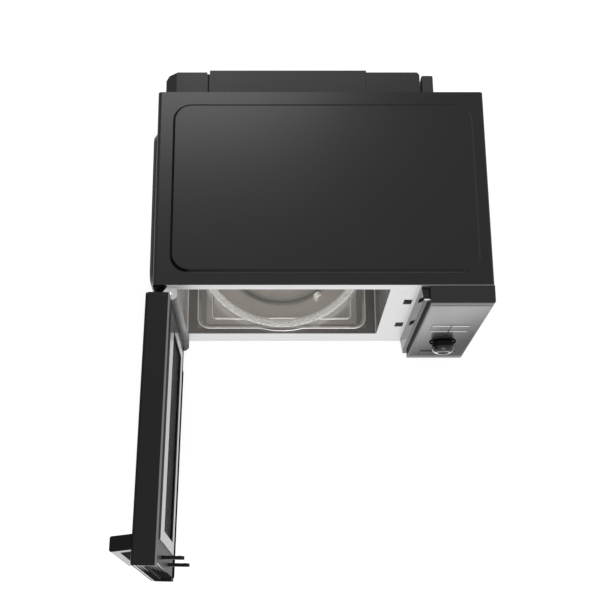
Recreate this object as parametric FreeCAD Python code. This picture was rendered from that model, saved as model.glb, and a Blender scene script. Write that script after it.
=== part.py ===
import FreeCAD, Part
import math
import os

# Air fryer microwave oven with its door standing open.
# Millimetres. X runs to the right, Y to the back and Z up, seen from the front of the oven.
# The pieces are built with the cabinet's front at Y = 0 and the worktop at Z = 0.
# At the end the whole oven is moved so that the origin is the bottom centre of its overall box.

V = FreeCAD.Vector

# Cabinet
CABINET_W = 520.0
CABINET_D = 326.0
CABINET_H = 312.0
FOOT_H = 13.0
FOOT_R = 15.0
FOOT_TIP_R = 13.0
FOOT_INSET_X = 52.0
FOOT_INSET_Y = 46.0
COVER_T = 0.8
COVER_R = 6.0
COVER_FLANGE_W = 20.0
BASE_T = 1.0
REAR_T = 1.0
PLATE_T = 1.0
VENT_SLOT_L = 24.0
VENT_SLOT_H = 3.2
VENT_PITCH = 8.0
SIDE_VENT_FROM_REAR = 70.0
SIDE_VENT_Z = 190.0
SIDE_VENT_COLUMNS = 2
SIDE_VENT_ROWS = 8
BASE_VENT_FROM_LEFT = 50.0
BASE_VENT_ROWS = 6
REAR_VENT_FROM_RIGHT = 39.2
REAR_VENT_DROP = 20.0
REAR_VENT_ROWS = 12
SCREW_INSET = 6.0
SCREW_END_INSET = 24.0
SCREW_TOP_DROP = 7.0
SCREW_TOP_PITCH = 150.0
SCREW_TOP_COUNT = 3
SCREW_HOLE_R = 2.0
SCREW_FIT = 0.05
SCREW_LENGTH = 4.0
SCREW_HEAD_R = 4.2
SCREW_HEAD_EDGE_H = 1.2
SCREW_HEAD_CROWN_R = 3.0
SCREW_HEAD_CROWN_H = 2.2
SCREW_HEAD_H = 2.5
GLAND_R = 8.0
GLAND_BORE_R = 4.0
GLAND_FLANGE_W = 3.0
GLAND_FLANGE_T = 4.0
GLAND_TAPER = 1.0
GLAND_FROM_RIGHT = 40.0
GLAND_HEIGHT = 48.0

# Stamped field in the top of the cover and stamped bulge in its left side
STAMP_RISE = 3.5
STAMP_SLOPE = 4.0
STAMP_R = 28.0
STAMP_LEFT = 25.0
STAMP_RIGHT = 18.0
STAMP_FRONT = 20.0
STAMP_REAR = 22.0
BULGE_RISE = 8.0
BULGE_SLOPE = 9.0
BULGE_R = 20.0
BULGE_FRONT = 10.0
BULGE_REAR = 50.0
BULGE_TOP = 24.0
BULGE_BOTTOM = 40.0

# Oven cavity
CAVITY_W = 328.0
CAVITY_LEFT_MARGIN = 36.0
CAVITY_FLOOR = 47.0
CAVITY_TOP_MARGIN = 22.0
CAVITY_REAR_GAP = 8.0
CAVITY_T = 0.8
CAVITY_MOUTH_R = 3.0
RECESS_MARGIN = 18.0
RECESS_FRONT = 9.0
RECESS_DEPTH = 4.0
RECESS_SLOPE = 5.0
RECESS_R = 20.0
WELL_MARGIN = 25.0
WELL_FRONT = 18.0
WELL_DEPTH = 2.5
WELL_SLOPE = 3.0
WELL_R = 8.0
AIR_HOLE_R = 1.8
AIR_HOLE_PITCH = 7.0
AIR_HOLE_ROWS = 5
AIR_VENT_FROM_BACK = 60.0
AIR_VENT_DROP = 50.0
FAN_HOLE_R = 3.2
FAN_HOLE_ROWS = 3
FAN_HOLE_PITCH = 13.0
FAN_HOLE_COUNT = 6
FAN_OUTLET_R = 74.0
FAN_OUTLET_COUNT = 24

# Turntable
TRAY_GAP = 6.0
TRAY_T = 4.5
TRAY_RIM_H = 11.0
TRAY_SLOPE_W = 24.5
TRAY_RIM_W = 3.5
TRAY_RIM_BEVEL = 2.5
TRAY_RIM_ROOT = 2.0
TRAY_RIM_STEP = 1.2
TRAY_LUG_R = 20.0
TRAY_LUG_L = 9.0
TRAY_LUG_W = 8.0
TRAY_LUG_H = 4.0
TRAY_LUG_COUNT = 3
TRAY_LUG_FIRST_DEG = 60.0
ROLLER_R = 6.0
ROLLER_W = 9.0
ROLLER_COUNT = 3
ROLLER_FIRST_DEG = -55.0
ROLLER_EDGE = 0.6
ROLLER_EDGE_W = 0.8
RING_INSET = 20.0
RING_W = 8.0
RING_T = 4.0
AXLE_R = 2.2
AXLE_LIP = 1.3
AXLE_LIP_RISE = 1.2
SPINDLE_R = 3.5
SPINDLE_GAP = 2.0
SPINDLE_SEAT = 3.0
COUPLER_ARMS = 3
COUPLER_HUB_DROP = 1.5
COUPLER_R = 25.0
COUPLER_ARM_W = 10.0
COUPLER_HUB_R = 8.0
COUPLER_T = 5.8
TURN_MOTOR_R = 24.5
TURN_MOTOR_H = 17.0
TURN_MOTOR_EAR = 9.0
TURN_MOTOR_EAR_W = 14.0
TURN_MOTOR_EAR_T = 1.5
TURN_MOTOR_EAR_R = 6.5
TURN_MOTOR_PLUG_W = 16.0
TURN_MOTOR_PLUG_D = 7.0
TURN_MOTOR_PLUG_H = 9.0

# Control panel on the right of the front
PANEL_PROUD = 29.0
PANEL_WALL = 2.5
PANEL_DROP = 6.0
PANEL_CORNER_R = 4.0
PANEL_EDGE_R = 1.5
PANEL_LAP = 10.0
POST_W = 8.0
POST_H = 12.0
POST_INSET = 14.0
FASCIA_T = 3.0
FASCIA_LEFT = 2.0
FASCIA_RIGHT = 3.5
FASCIA_TOP = 13.0
FASCIA_BOTTOM = 8.0
FASCIA_LEDGE = 3.0
TRIM_W = 12.5
TRIM_PROUD = 21.0
TRIM_TOP_DROP = 10.0
TRIM_BOTTOM_RISE = 8.0
TRIM_DRAFT = 3.5
TRIM_FOOT_DROP = 5.0
TRIM_EDGE_R = 2.0
DISPLAY_SIDE = 13.25
DISPLAY_H = 58.0
DISPLAY_FROM_TOP = 25.0
DISPLAY_MODULE_INSET = 2.0
KEY_SIDE = 15.75
KEY_RIB = 1.0
KEY_PROUD = 0.6
KEY_TRAVEL = 0.8
KEY_GAP = 0.35
KEY_LIP = 1.2
KEY_LIP_T = 2.0
KEY_EDGE_R = 0.5
KEY_STEM_R = 2.5
KEY_STEM_GAP = 0.2
UPPER_KEY_Z = 178.0
UPPER_KEY_H = 33.0
LOWER_KEY_Z = 26.0
LOWER_KEY_H = 26.0
KNOB_Z = 99.0
KNOB_R = 18.0
KNOB_LENGTH = 9.0
KNOB_GAP = 1.7
KNOB_RIM_R = 18.6
KNOB_RIM_T = 9.1
KNOB_NOSE_R = 8.4
KNOB_FACE_R = 9.6
KNOB_EDGE = 0.8
KNOB_FOOT = 1.0
KNOB_DISH = 0.4
KNOB_SHAFT_R = 3.0
KNOB_SHAFT_GAP = 2.0
BEZEL_R = 22.5
BEZEL_HOLE_R = 20.6
BEZEL_T = 1.6
BEZEL_BEVEL = 0.6
BOARD_T = 1.6
BOARD_DEPTH = 14.0
BOARD_SIDE = 1.0
BOARD_END = 6.0
ENCODER_SIZE = 14.0
ENCODER_H = 7.0
SWITCH_SIZE = 6.0
SWITCH_H = 4.0

# Door, drawn closed
DOOR_LEFT_MARGIN = 8.0
DOOR_STILE = 49.5
DOOR_LAP = 4.0
DOOR_TOP_GAP = 1.5
DOOR_BOTTOM_GAP = 0.5
DOOR_T = 37.4
DOOR_GAP = 3.7
DOOR_WALL = 3.0
DOOR_GLASS_T = 4.0
DOOR_GLASS_EDGE_R = 2.0
DOOR_CORNER_R = 3.0
DOOR_OPEN_DEG = 91.3
REBATE_GAP = 1.0
REBATE_END = 6.0
CHOKE_OVERLAP = 6.0
CHOKE_RIGHT_OVERLAP = 11.0
CHOKE_RISE = 2.4
CHOKE_SIDE_W = 17.5
CHOKE_TOP_W = 56.0
CHOKE_BOTTOM_W = 33.0
CHOKE_EDGE_R = 1.5
PANE_T = 3.0
PANE_DROP = 2.0
SCREEN_T = 1.0
SCREEN_LAP = 2.0
SCREEN_HOLE_R = 5.5
SCREEN_PITCH = 15.0
HANDLE_W = 22.0
HANDLE_FROM_EDGE = 17.3
HANDLE_LEAN = 4.4
HANDLE_STAND = 31.0
HANDLE_BAR_T = 13.0
HANDLE_ARM_H = 22.0
HANDLE_BOTTOM = 80.0
HANDLE_CAP_T = 2.5
HANDLE_R = 3.0

# Hinge
PIVOT_FROM_EDGE = 6.0
PIVOT_FROM_PLATE = 17.0
LUG_T = 3.0
LUG_R = 5.5
LUG_LEFT = 22.0
LUG_RIGHT = 37.0
LUG_FRONT = 20.0
LUG_FROM_TOP = 9.0
LUG_FROM_BOTTOM = 8.0
LUG_GAP = 1.0
LUG_CHAMFER = 5.0
LUG_TAB_H = 10.0
PIN_R = 2.5
PIN_LENGTH = 13.0
PIN_CLEARANCE = 0.5
PIN_END_GAP = 1.0
BUSH_R = 4.5
BUSH_LENGTH = 11.0
BOSS_SIZE = 17.0
BOSS_DEPTH = 20.5
BOSS_INSET = 0.5
BOSS_END = 3.0

# Latch
HOOK_FROM_EDGE = 17.0
HOOK_T = 5.0
HOOK_H = 14.0
HOOK_REACH = 32.5
HOOK_TRAVEL = 6.0
HOOK_NOSE = 6.0
HOOK_NOSE_LOW = 4.0
HOOK_NOSE_HIGH = 8.0
HOOK_BARB_SLOPE = 5.0
HOOK_BARB = 9.0
HOOK_BARB_H = 4.0
HOOK_ROOT = 2.0
UPPER_HOOK_DROP = 95.5
LOWER_HOOK_Z = 92.5
SLOT_LEFT_GAP = 0.8
SLOT_RIGHT_GAP = 7.5
SLOT_GAP = 2.0
SPRING_R = 4.0
SPRING_WIRE = 1.0
SPRING_LENGTH = 26.0
LATCH_BAR_D = 18.0
LATCH_BAR_GAP = 4.0
LATCH_BAR_END = 4.0
LATCH_BAR_HEAD = 15.0
RIB_T = 3.0
RIB_DEPTH = 24.0
RIB_LAP = 0.5
RIB_LOW = 148.0
RIB_HIGH = 172.0
GUIDE_GAP = 0.3
INTERLOCK_T = 3.0
INTERLOCK_GAP = 1.0
INTERLOCK_LOW = 14.0
INTERLOCK_HIGH = 20.0
INTERLOCK_END = 8.0
MICROSWITCH_RISE = 4.0
MICROSWITCH_STEP = 30.0
MICROSWITCH_W = 10.0
MICROSWITCH_D = 28.0
MICROSWITCH_H = 16.0
MICROSWITCH_SETBACK = 8.0
MICROSWITCH_BLADE_T = 1.0
MICROSWITCH_BLADE_L = 7.0
MICROSWITCH_BLADE_H = 6.0
MICROSWITCH_BLADE_PITCH = 9.0

# Rear convection housing and wall spacer
HOUSING_TOP_DROP = 12.0
HOUSING_BOTTOM = 42.0
HOUSING_LEFT_INSET = 11.4
HOUSING_RIGHT_INSET = 98.7
HOUSING_DEPTH = 42.0
HOUSING_MID_LEFT_W = 118.5
HOUSING_MID_RIGHT_W = 135.0
HOUSING_MID_STEP = 3.4
HOUSING_GROOVE = 4.0
HOUSING_T = 1.0
HOUSING_BEVEL_LOW = 16.0
HOUSING_BEVEL_MID = 7.0
HOUSING_BEVEL_X = 5.0
HOUSING_BEVEL_W = 18.0
HOUSING_CHAMFER = 4.0
HOUSING_VENT_Z = 60.0
HOUSING_VENT_COLUMNS = 5
HOUSING_VENT_ROWS = 7
SPACER_GAP = 3.2
SPACER_W = 19.0
SPACER_DEPTH = 38.0
SPACER_H = 34.0
SPACER_TOP_DROP = 14.0
SPACER_R = 3.0

# Convection fan and heaters
CHAMBER_SIZE = 190.0
CHAMBER_DEPTH = 33.0
CHAMBER_GAP = 1.0
FAN_R = 66.0
FAN_HUB_R = 11.0
FAN_BLADES = 8
FAN_BLADE_D = 17.0
FAN_BLADE_T = 1.2
FAN_BLADE_SETBACK = 3.0
FAN_DISC_T = 1.2
FAN_BACK_GAP = 6.0
RING_HEATER_R = 82.0
HEATER_END_DEG = 10.0
HEATER_TUBE_R = 3.4
HEATER_TAIL = 6.0
MOTOR_SHAFT_R = 3.0
SHAFT_HOLE_GAP = 1.0
MOTOR_SHAFT_END = 4.0
MOTOR_BORE_END = 3.0
CONVECTION_MOTOR_R = 28.0
CONVECTION_MOTOR_L = 14.0
CONVECTION_EAR_L = 84.0
CONVECTION_EAR_H = 16.0
CONVECTION_EAR_T = 2.0
GRILL_DROP = 12.0
GRILL_SPAN = 80.0
GRILL_FRONT = 110.0
GRILL_LEFT_MARGIN = 40.0
GRILL_TAIL = 14.0
STRAP_T = 1.5
STRAP_LEFT = 20.0
STRAP_RIGHT = 60.0
STRAP_OVERHANG = 8.0
STRAP_DROP = 6.0
CUTOUT_Y = 40.0
CUTOUT_R = 8.0
CUTOUT_H = 7.0
CUTOUT_PLATE_L = 30.0
CUTOUT_PLATE_W = 12.0
CUTOUT_PLATE_T = 1.0
CUTOUT_BLADE_T = 0.8
CUTOUT_BLADE_W = 6.0
CUTOUT_BLADE_H = 14.0
CUTOUT_BLADE_PITCH = 8.0

# Electrical compartment, between the cavity and the cover's right side
COOLING_FAN_SHARE = 0.35
COOLING_BLADES = 5
COOLING_BLADE_T = 1.6
COOLING_BLADE_D = 34.0
COOLING_BLADE_ROOT = 11.0
COOLING_PITCH_DEG = 25.0
COOLING_HUB_R = 13.0
COOLING_HUB_L = 16.0
COOLING_SHAFT_TIP = 9.0
COOLING_BLADE_SETBACK = 14.0
COOLING_Z = 190.0
COOLING_MOTOR_W = 60.0
COOLING_MOTOR_H = 44.0
COOLING_MOTOR_D = 18.0
COOLING_MOTOR_GAP = 4.0
COOLING_COIL_W = 36.0
COOLING_COIL_D = 30.0
COOLING_COIL_LOW = 40.0
COOLING_COIL_HIGH = 20.0
COOLING_STUD_R = 3.0
COOLING_STUD_PITCH = 48.0
COOLING_STUD_LAP = 1.0
COOLING_BORE_L = 20.0
COOLING_SHAFT_L = 18.0
SHROUD_FROM_REAR = 42.0
SHROUD_T = 2.0
SHROUD_GAP = 8.2
SHROUD_MARGIN = 15.0
SHROUD_THROAT_T = 2.0
SHROUD_THROAT_GAP = 3.0
SHROUD_THROAT_L = 22.0
SHROUD_ARM_H = 18.0
SHROUD_ARM_LAP = 4.0
SHROUD_HOLE_GAP = 2.0
SHROUD_LEG_W = 40.0
GUIDE_W = 37.0
GUIDE_D = 90.0
GUIDE_H = 85.0
GUIDE_T = 1.0
GUIDE_Y = 110.0
GUIDE_Z = 152.0
PORT_SIDE = 12.0
PORT_END = 18.0
PORT_COVER_T = 0.8
PORT_COVER_SIDE = 4.0
PORT_COVER_END = 10.0
PORT_COVER_R = 4.0
ANTENNA_R = 8.0
ANTENNA_L = 20.0
ANTENNA_GAP = 1.0
MAGNETRON_GAP = 41.4
MAGNETRON_YOKE_SHARE = 0.605
MAGNETRON_BASE_D = 84.0
MAGNETRON_BASE_H = 68.0
MAGNETRON_D = 80.0
MAGNETRON_H = 60.0
MAGNETRON_SHEET = 2.0
MAGNETRON_CORE_R = 18.0
MAGNETRON_FINS = 6
MAGNETRON_FIN_T = 1.0
FILTER_SIZE = 52.0
TRANSFORMER_SHARE = 0.57
TRANSFORMER_Y = 60.0
TRANSFORMER_D = 62.0
TRANSFORMER_H = 76.0
WINDING_INSET = 12.0
WINDING_PROUD = 10.0
WINDING_H = 26.0
WINDING_LOW = 10.0
WINDING_HIGH = 40.0
WINDING_R = 8.0
TRANSFORMER_FOOT = 8.0
TRANSFORMER_FOOT_INSET = 4.0
TRANSFORMER_FOOT_T = 3.0
CAPACITOR_SHARE = 0.544
CAPACITOR_Y = 190.0
CAPACITOR_D = 36.0
CAPACITOR_H = 54.0
CAPACITOR_R = 17.0
CAPACITOR_POST_L = 10.0
CAPACITOR_POST_W = 6.0
CAPACITOR_POST_H = 8.0
CAPACITOR_POST_PITCH = 14.0
LAMP_Y = 75.0
LAMP_DROP = 46.0
LAMP_HOLDER_L = 30.0
LAMP_HOLDER_SIZE = 40.0
LAMP_HOLDER_T = 2.0
LAMP_BULB_X = 14.0
LAMP_BULB_R = 10.0
LAMP_CAP_R = 9.0
LAMP_CAP_H = 12.0

# Fits
RUNNING_FIT = 0.06
SEAT_GAP = 0.3
PANEL_FIT = 0.2
OVER = 1.0

# Derived places
BASE_Z = FOOT_H
TOP_Z = FOOT_H + CABINET_H
LEFT_X = -CABINET_W / 2
RIGHT_X = CABINET_W / 2
CAVITY_L = LEFT_X + CAVITY_LEFT_MARGIN
CAVITY_R = CAVITY_L + CAVITY_W
CAVITY_X = (CAVITY_L + CAVITY_R) / 2
CAVITY_DEPTH = CABINET_D - CAVITY_REAR_GAP
FLOOR_Z = BASE_Z + CAVITY_FLOOR
CEILING_Z = TOP_Z - CAVITY_TOP_MARGIN
WELL_Z = FLOOR_Z - RECESS_DEPTH - WELL_DEPTH
WELL_HALF = min(CAVITY_W / 2 - RECESS_MARGIN - WELL_MARGIN, CAVITY_DEPTH / 2 - RECESS_FRONT - WELL_FRONT)
TRAY_Y = (CAVITY_DEPTH + 2 * PLATE_T) / 2
TRAY_R = min(CAVITY_W, CAVITY_DEPTH - PLATE_T) / 2 - TRAY_GAP
TRAY_FLAT_R = TRAY_R - TRAY_SLOPE_W
RING_R = WELL_HALF - RING_INSET
ROLLER_Z = WELL_Z + SEAT_GAP + ROLLER_R
TRAY_Z = ROLLER_Z + ROLLER_R + SEAT_GAP
DOOR_L = LEFT_X + DOOR_LEFT_MARGIN
DOOR_R = CAVITY_R + DOOR_STILE
TRIM_L = DOOR_R - DOOR_LAP
PANEL_L = TRIM_L + TRIM_W
FASCIA_L = PANEL_L + FASCIA_LEFT
FASCIA_R = RIGHT_X - FASCIA_RIGHT
FASCIA_X = (FASCIA_L + FASCIA_R) / 2
FASCIA_BACK = -PANEL_PROUD + FASCIA_T
KEY_W = (FASCIA_R - FASCIA_L - KEY_RIB) / 2 - KEY_SIDE
BOARD_Y = -BOARD_DEPTH
DOOR_IN = -DOOR_GAP
DOOR_OUT = DOOR_IN - DOOR_T
DOOR_CORE = DOOR_OUT + DOOR_GLASS_T
DOOR_BOTTOM = BASE_Z + DOOR_BOTTOM_GAP
DOOR_TOP = TOP_Z - DOOR_TOP_GAP
REBATE_X = TRIM_L - REBATE_GAP
REBATE_Y = -TRIM_PROUD - REBATE_GAP
CHOKE_L = CAVITY_L - CHOKE_OVERLAP
CHOKE_R = CAVITY_R + CHOKE_RIGHT_OVERLAP
CHOKE_BOTTOM = FLOOR_Z
CHOKE_TOP = CEILING_Z + CHOKE_OVERLAP
CHOKE_Y = DOOR_IN + CHOKE_RISE
WINDOW_L = CHOKE_L + CHOKE_SIDE_W
WINDOW_R = CHOKE_R - CHOKE_SIDE_W
WINDOW_BOTTOM = CHOKE_BOTTOM + CHOKE_BOTTOM_W
WINDOW_TOP = CHOKE_TOP - CHOKE_TOP_W
PIVOT_X = DOOR_L + PIVOT_FROM_EDGE
PIVOT_Y = -PIVOT_FROM_PLATE
UPPER_LUG_Z = TOP_Z - LUG_FROM_TOP
LOWER_LUG_Z = BASE_Z + LUG_FROM_BOTTOM
HOOK_X = DOOR_R - HOOK_FROM_EDGE - HOOK_T / 2
FAN_Z = (FLOOR_Z + CEILING_Z) / 2
CHAMBER_Y = CAVITY_DEPTH + CAVITY_T
CHAMBER_BACK = CHAMBER_Y + CHAMBER_DEPTH
FAN_Y = CHAMBER_Y + CHAMBER_DEPTH / 2
HEATER_END_Z = FAN_Z - RING_HEATER_R * math.cos(math.radians(HEATER_END_DEG))
GLAND_X = RIGHT_X - GLAND_FROM_RIGHT
GLAND_Z = BASE_Z + GLAND_HEIGHT
LAMP_Z = CEILING_Z - LAMP_DROP
ROLLER_IN = RING_R + RING_W / 2 + SEAT_GAP
ROLLER_OUT = ROLLER_IN + ROLLER_W
KNOB_SHOULDER = KNOB_GAP + KNOB_LENGTH
SHAFT_END = PANEL_PROUD + BOARD_Y - KNOB_SHAFT_GAP
UPPER_HOOK_Z = CABINET_H - UPPER_HOOK_DROP
LATCH_Y = DOOR_IN - DOOR_WALL - LATCH_BAR_GAP
LATCH_LOW = BASE_Z + LOWER_HOOK_Z - LATCH_BAR_END
LATCH_HIGH = BASE_Z + UPPER_HOOK_Z + HOOK_H + LATCH_BAR_HEAD
BAY_L = CAVITY_R + CAVITY_T
BAY_R = RIGHT_X - COVER_T
BAY_X = (BAY_L + BAY_R) / 2
COOLING_FAN_R = COOLING_FAN_SHARE * (BAY_R - BAY_L)
COOLING_UP = BASE_Z + COOLING_Z
SHROUD_Y = CABINET_D - SHROUD_FROM_REAR
GUIDE_END = BAY_L + GUIDE_W
MAGNETRON_L = BAY_R - GUIDE_END - MAGNETRON_GAP
GRILL_Z = CEILING_Z - GRILL_DROP
GRILL_BACK = GRILL_FRONT + GRILL_SPAN
HOUSING_LEFT = LEFT_X + HOUSING_LEFT_INSET
HOUSING_RIGHT = RIGHT_X - HOUSING_RIGHT_INSET
HOUSING_LOW = BASE_Z + HOUSING_BOTTOM
HOUSING_HIGH = TOP_Z - HOUSING_TOP_DROP
UPRIGHT = 0.9
NEAR = 0.1

pieces = {}


def box(x0, x1, y0, y1, z0, z1):
    """Block between two corners."""
    return Part.makeBox(x1 - x0, y1 - y0, z1 - z0, V(x0, y0, z0))


def rod(radius, start, end):
    """Round bar between two points."""
    axis = end - start
    return Part.makeCylinder(radius, axis.Length, start, axis)


def on_top(z):
    """Plane at height z, for outlines drawn in plan."""
    return lambda u, v: V(u, v, z)


def on_front(y):
    """Plane at depth y, for outlines drawn in front view."""
    return lambda u, v: V(u, y, v)


def on_side(x):
    """Plane at width x, for outlines drawn in side view."""
    return lambda u, v: V(x, u, v)


def rounded_outline(place, u0, u1, v0, v1, radius):
    """Closed rectangle with round corners on the plane that place gives."""
    near = radius * (1 - math.sqrt(0.5))
    corners = [
        ((u0, v0 + radius), (u0 + near, v0 + near), (u0 + radius, v0)),
        ((u1 - radius, v0), (u1 - near, v0 + near), (u1, v0 + radius)),
        ((u1, v1 - radius), (u1 - near, v1 - near), (u1 - radius, v1)),
        ((u0 + radius, v1), (u0 + near, v1 - near), (u0, v1 - radius)),
    ]
    edges = []
    for index, corner in enumerate(corners):
        start, middle, end = [place(*point) for point in corner]
        edges.append(Part.Arc(start, middle, end).toShape())
        following = place(*corners[(index + 1) % 4][0])
        edges.append(Part.LineSegment(end, following).toShape())
    return Part.Wire(edges)


def rounded_slab(place, u0, u1, v0, v1, radius, depth):
    """Plate with round corners, as thick as the depth vector."""
    return Part.Face(rounded_outline(place, u0, u1, v0, v1, radius)).extrude(depth)


def prism(points, depth):
    """Straight-sided block over a closed outline of points."""
    return Part.Face(Part.makePolygon(points + [points[0]])).extrude(depth)


def stamping(plane, out, u0, u1, v0, v1, radius, slope, rise):
    """Field pressed out of a sheet: round-cornered, with sloping sides, along the direction out."""
    root = rounded_outline(plane(-out * rise), u0, u1, v0, v1, radius)
    foot = rounded_outline(plane(0), u0, u1, v0, v1, radius)
    crown = rounded_outline(plane(out * rise), u0 + slope, u1 - slope, v0 + slope, v1 - slope,
                            radius - slope / 2)
    return Part.makeLoft([root, foot, crown], True, True)


def round_edges(shape, radius, chosen):
    """Rounds the edges for which chosen(edge) is true."""
    return shape.makeFillet(radius, [edge for edge in shape.Edges if chosen(edge)])


def is_upright(edge):
    """Whether an edge runs along Z."""
    return abs(edge.tangentAt(edge.FirstParameter).z) > UPRIGHT


def spun(points, centre, axis):
    """Solid of revolution about an axis, from (radius, height) points."""
    across = V(0, 0, 1) if abs(axis.z) < 0.5 else V(1, 0, 0)
    places = [centre + across * r + axis * h for r, h in points]
    outline = Part.makePolygon(places + [places[0]])
    return Part.Face(outline).revolve(centre, axis, 360)


def row(count, pitch):
    """Evenly spaced offsets about zero."""
    return [(index - (count - 1) / 2) * pitch for index in range(count)]


def cover_block(inset, y0, y1, z0):
    """Block with the cover's front outline, inset all round, standing on z0."""
    half = CABINET_W / 2 - inset
    top = TOP_Z - inset
    radius = COVER_R - inset
    near = radius * (1 - math.sqrt(0.5))
    place = on_front(y0)
    edges = [
        Part.LineSegment(place(-half, z0), place(-half, top - radius)),
        Part.Arc(place(-half, top - radius), place(-half + near, top - near), place(-half + radius, top)),
        Part.LineSegment(place(-half + radius, top), place(half - radius, top)),
        Part.Arc(place(half - radius, top), place(half - near, top - near), place(half, top - radius)),
        Part.LineSegment(place(half, top - radius), place(half, z0)),
        Part.LineSegment(place(half, z0), place(-half, z0)),
    ]
    outline = Part.Wire([edge.toShape() for edge in edges])
    return Part.Face(outline).extrude(V(0, y1 - y0, 0))


def top_stamping(inset):
    """Raised field of the cover's top, or the hollow under it when inset."""
    return stamping(
        lambda w: on_top(TOP_Z - inset + w), 1,
        LEFT_X + STAMP_LEFT + inset, RIGHT_X - STAMP_RIGHT - inset,
        STAMP_FRONT + inset, CABINET_D - STAMP_REAR - inset,
        STAMP_R - inset, STAMP_SLOPE, STAMP_RISE)


def side_stamping(inset):
    """Bulge of the cover's left side, or the hollow behind it when inset."""
    return stamping(
        lambda w: on_side(LEFT_X + inset + w), -1,
        BULGE_FRONT + inset, CABINET_D - BULGE_REAR - inset,
        BASE_Z + BULGE_BOTTOM + inset, TOP_Z - BULGE_TOP - inset,
        BULGE_R - inset, BULGE_SLOPE, BULGE_RISE)


def slots_on_side(x, y, z, columns, rows):
    """Ventilation slots through a wall that faces along X."""
    reach = COVER_T + OVER
    cuts = []
    for across in row(columns, VENT_SLOT_L + VENT_PITCH):
        for up in row(rows, VENT_PITCH):
            cuts.append(box(x - reach, x + reach, y + across - VENT_SLOT_L / 2, y + across + VENT_SLOT_L / 2,
                            z + up - VENT_SLOT_H / 2, z + up + VENT_SLOT_H / 2))
    return Part.makeCompound(cuts)


def slots_on_back(x, y, z, columns, rows):
    """Ventilation slots through a wall that faces along Y."""
    reach = REAR_T + OVER
    cuts = []
    for across in row(columns, VENT_SLOT_L + VENT_PITCH):
        for up in row(rows, VENT_PITCH):
            cuts.append(box(x + across - VENT_SLOT_L / 2, x + across + VENT_SLOT_L / 2, y - reach, y + reach,
                            z + up - VENT_SLOT_H / 2, z + up + VENT_SLOT_H / 2))
    return Part.makeCompound(cuts)


def make_outer_cover():
    """Painted steel cover over the top and both sides, with a flange folded in at the front left."""
    skin = cover_block(0, 0, CABINET_D, BASE_Z).fuse([top_stamping(0), side_stamping(0)])
    inside = cover_block(COVER_T, -OVER, CABINET_D + OVER, BASE_Z - OVER).fuse(
        [top_stamping(COVER_T), side_stamping(COVER_T)])
    flange = box(LEFT_X + COVER_T / 2, LEFT_X + COVER_FLANGE_W, 0, COVER_T, BASE_Z, TOP_Z - COVER_R)
    vents = slots_on_side(RIGHT_X, CABINET_D - SIDE_VENT_FROM_REAR, BASE_Z + SIDE_VENT_Z,
                          SIDE_VENT_COLUMNS, SIDE_VENT_ROWS)
    return skin.cut(inside).fuse(flange).cut(vents)


def make_base_plate():
    """Steel floor pan of the cabinet, between the cover's two sides."""
    inner = RIGHT_X - COVER_T
    plate = box(-inner, inner, PLATE_T, CABINET_D, BASE_Z, BASE_Z + BASE_T)
    cuts = []
    for offset in row(BASE_VENT_ROWS, VENT_PITCH):
        y = CABINET_D / 2 + offset
        for x in (CAVITY_L + BASE_VENT_FROM_LEFT, BAY_X):
            cuts.append(box(x - VENT_SLOT_L, x + VENT_SLOT_L, y - VENT_SLOT_H / 2, y + VENT_SLOT_H / 2,
                            BASE_Z - OVER, BASE_Z + BASE_T + OVER))
    return plate.cut(Part.makeCompound(cuts))


def screw_places():
    """Places of the screws in the rear edge of the cover, on the back face."""
    side = RIGHT_X - SCREW_INSET
    heights = (BASE_Z + SCREW_END_INSET, BASE_Z + CABINET_H / 2, TOP_Z - SCREW_END_INSET)
    places = [(sign * side, z) for sign in (-1, 1) for z in heights]
    return places + [(x, TOP_Z - SCREW_TOP_DROP) for x in row(SCREW_TOP_COUNT, SCREW_TOP_PITCH)]


def through_back(radius, x, z):
    """Round hole through the back."""
    return rod(radius, V(x, CABINET_D - REAR_T - OVER, z), V(x, CABINET_D + OVER, z))


def make_rear_panel():
    """Steel back of the cabinet, with the window for the fan chamber, air slots and screw holes."""
    panel = cover_block(COVER_T, CABINET_D - REAR_T, CABINET_D, BASE_Z + BASE_T)
    half = CHAMBER_SIZE / 2 + CHAMBER_GAP
    window = box(CAVITY_X - half, CAVITY_X + half, CABINET_D - REAR_T - OVER, CABINET_D + OVER,
                 FAN_Z - half, FAN_Z + half)
    holes = [through_back(SCREW_HOLE_R, x, z) for x, z in screw_places()]
    gland = through_back(GLAND_R, GLAND_X, GLAND_Z)
    vents = slots_on_back(BAY_R - REAR_VENT_FROM_RIGHT, CABINET_D, COOLING_UP - REAR_VENT_DROP,
                          1, REAR_VENT_ROWS)
    return panel.cut(Part.makeCompound([window, gland, vents] + holes))


def make_cover_screws():
    """Pan-head screws that hold the cover to the back, as a group."""
    profile = [(0, 0), (SCREW_HEAD_R, 0), (SCREW_HEAD_R, SCREW_HEAD_EDGE_H),
               (SCREW_HEAD_CROWN_R, SCREW_HEAD_CROWN_H), (0, SCREW_HEAD_H)]
    screws = []
    for x, z in screw_places():
        seat = V(x, CABINET_D, z)
        shank = rod(SCREW_HOLE_R - SCREW_FIT, seat - V(0, SCREW_LENGTH, 0), seat + V(0, SCREW_HEAD_EDGE_H, 0))
        screws.append(spun(profile, seat, V(0, 1, 0)).fuse(shank))
    return Part.makeCompound(screws)


def make_feet():
    """Four tapered rubber feet under the base plate."""
    feet = []
    for x in (LEFT_X + FOOT_INSET_X, RIGHT_X - FOOT_INSET_X):
        for y in (FOOT_INSET_Y, CABINET_D - FOOT_INSET_Y):
            feet.append(Part.makeCone(FOOT_TIP_R, FOOT_R, FOOT_H, V(x, y, 0), V(0, 0, 1)))
    return Part.makeCompound(feet)


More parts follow.
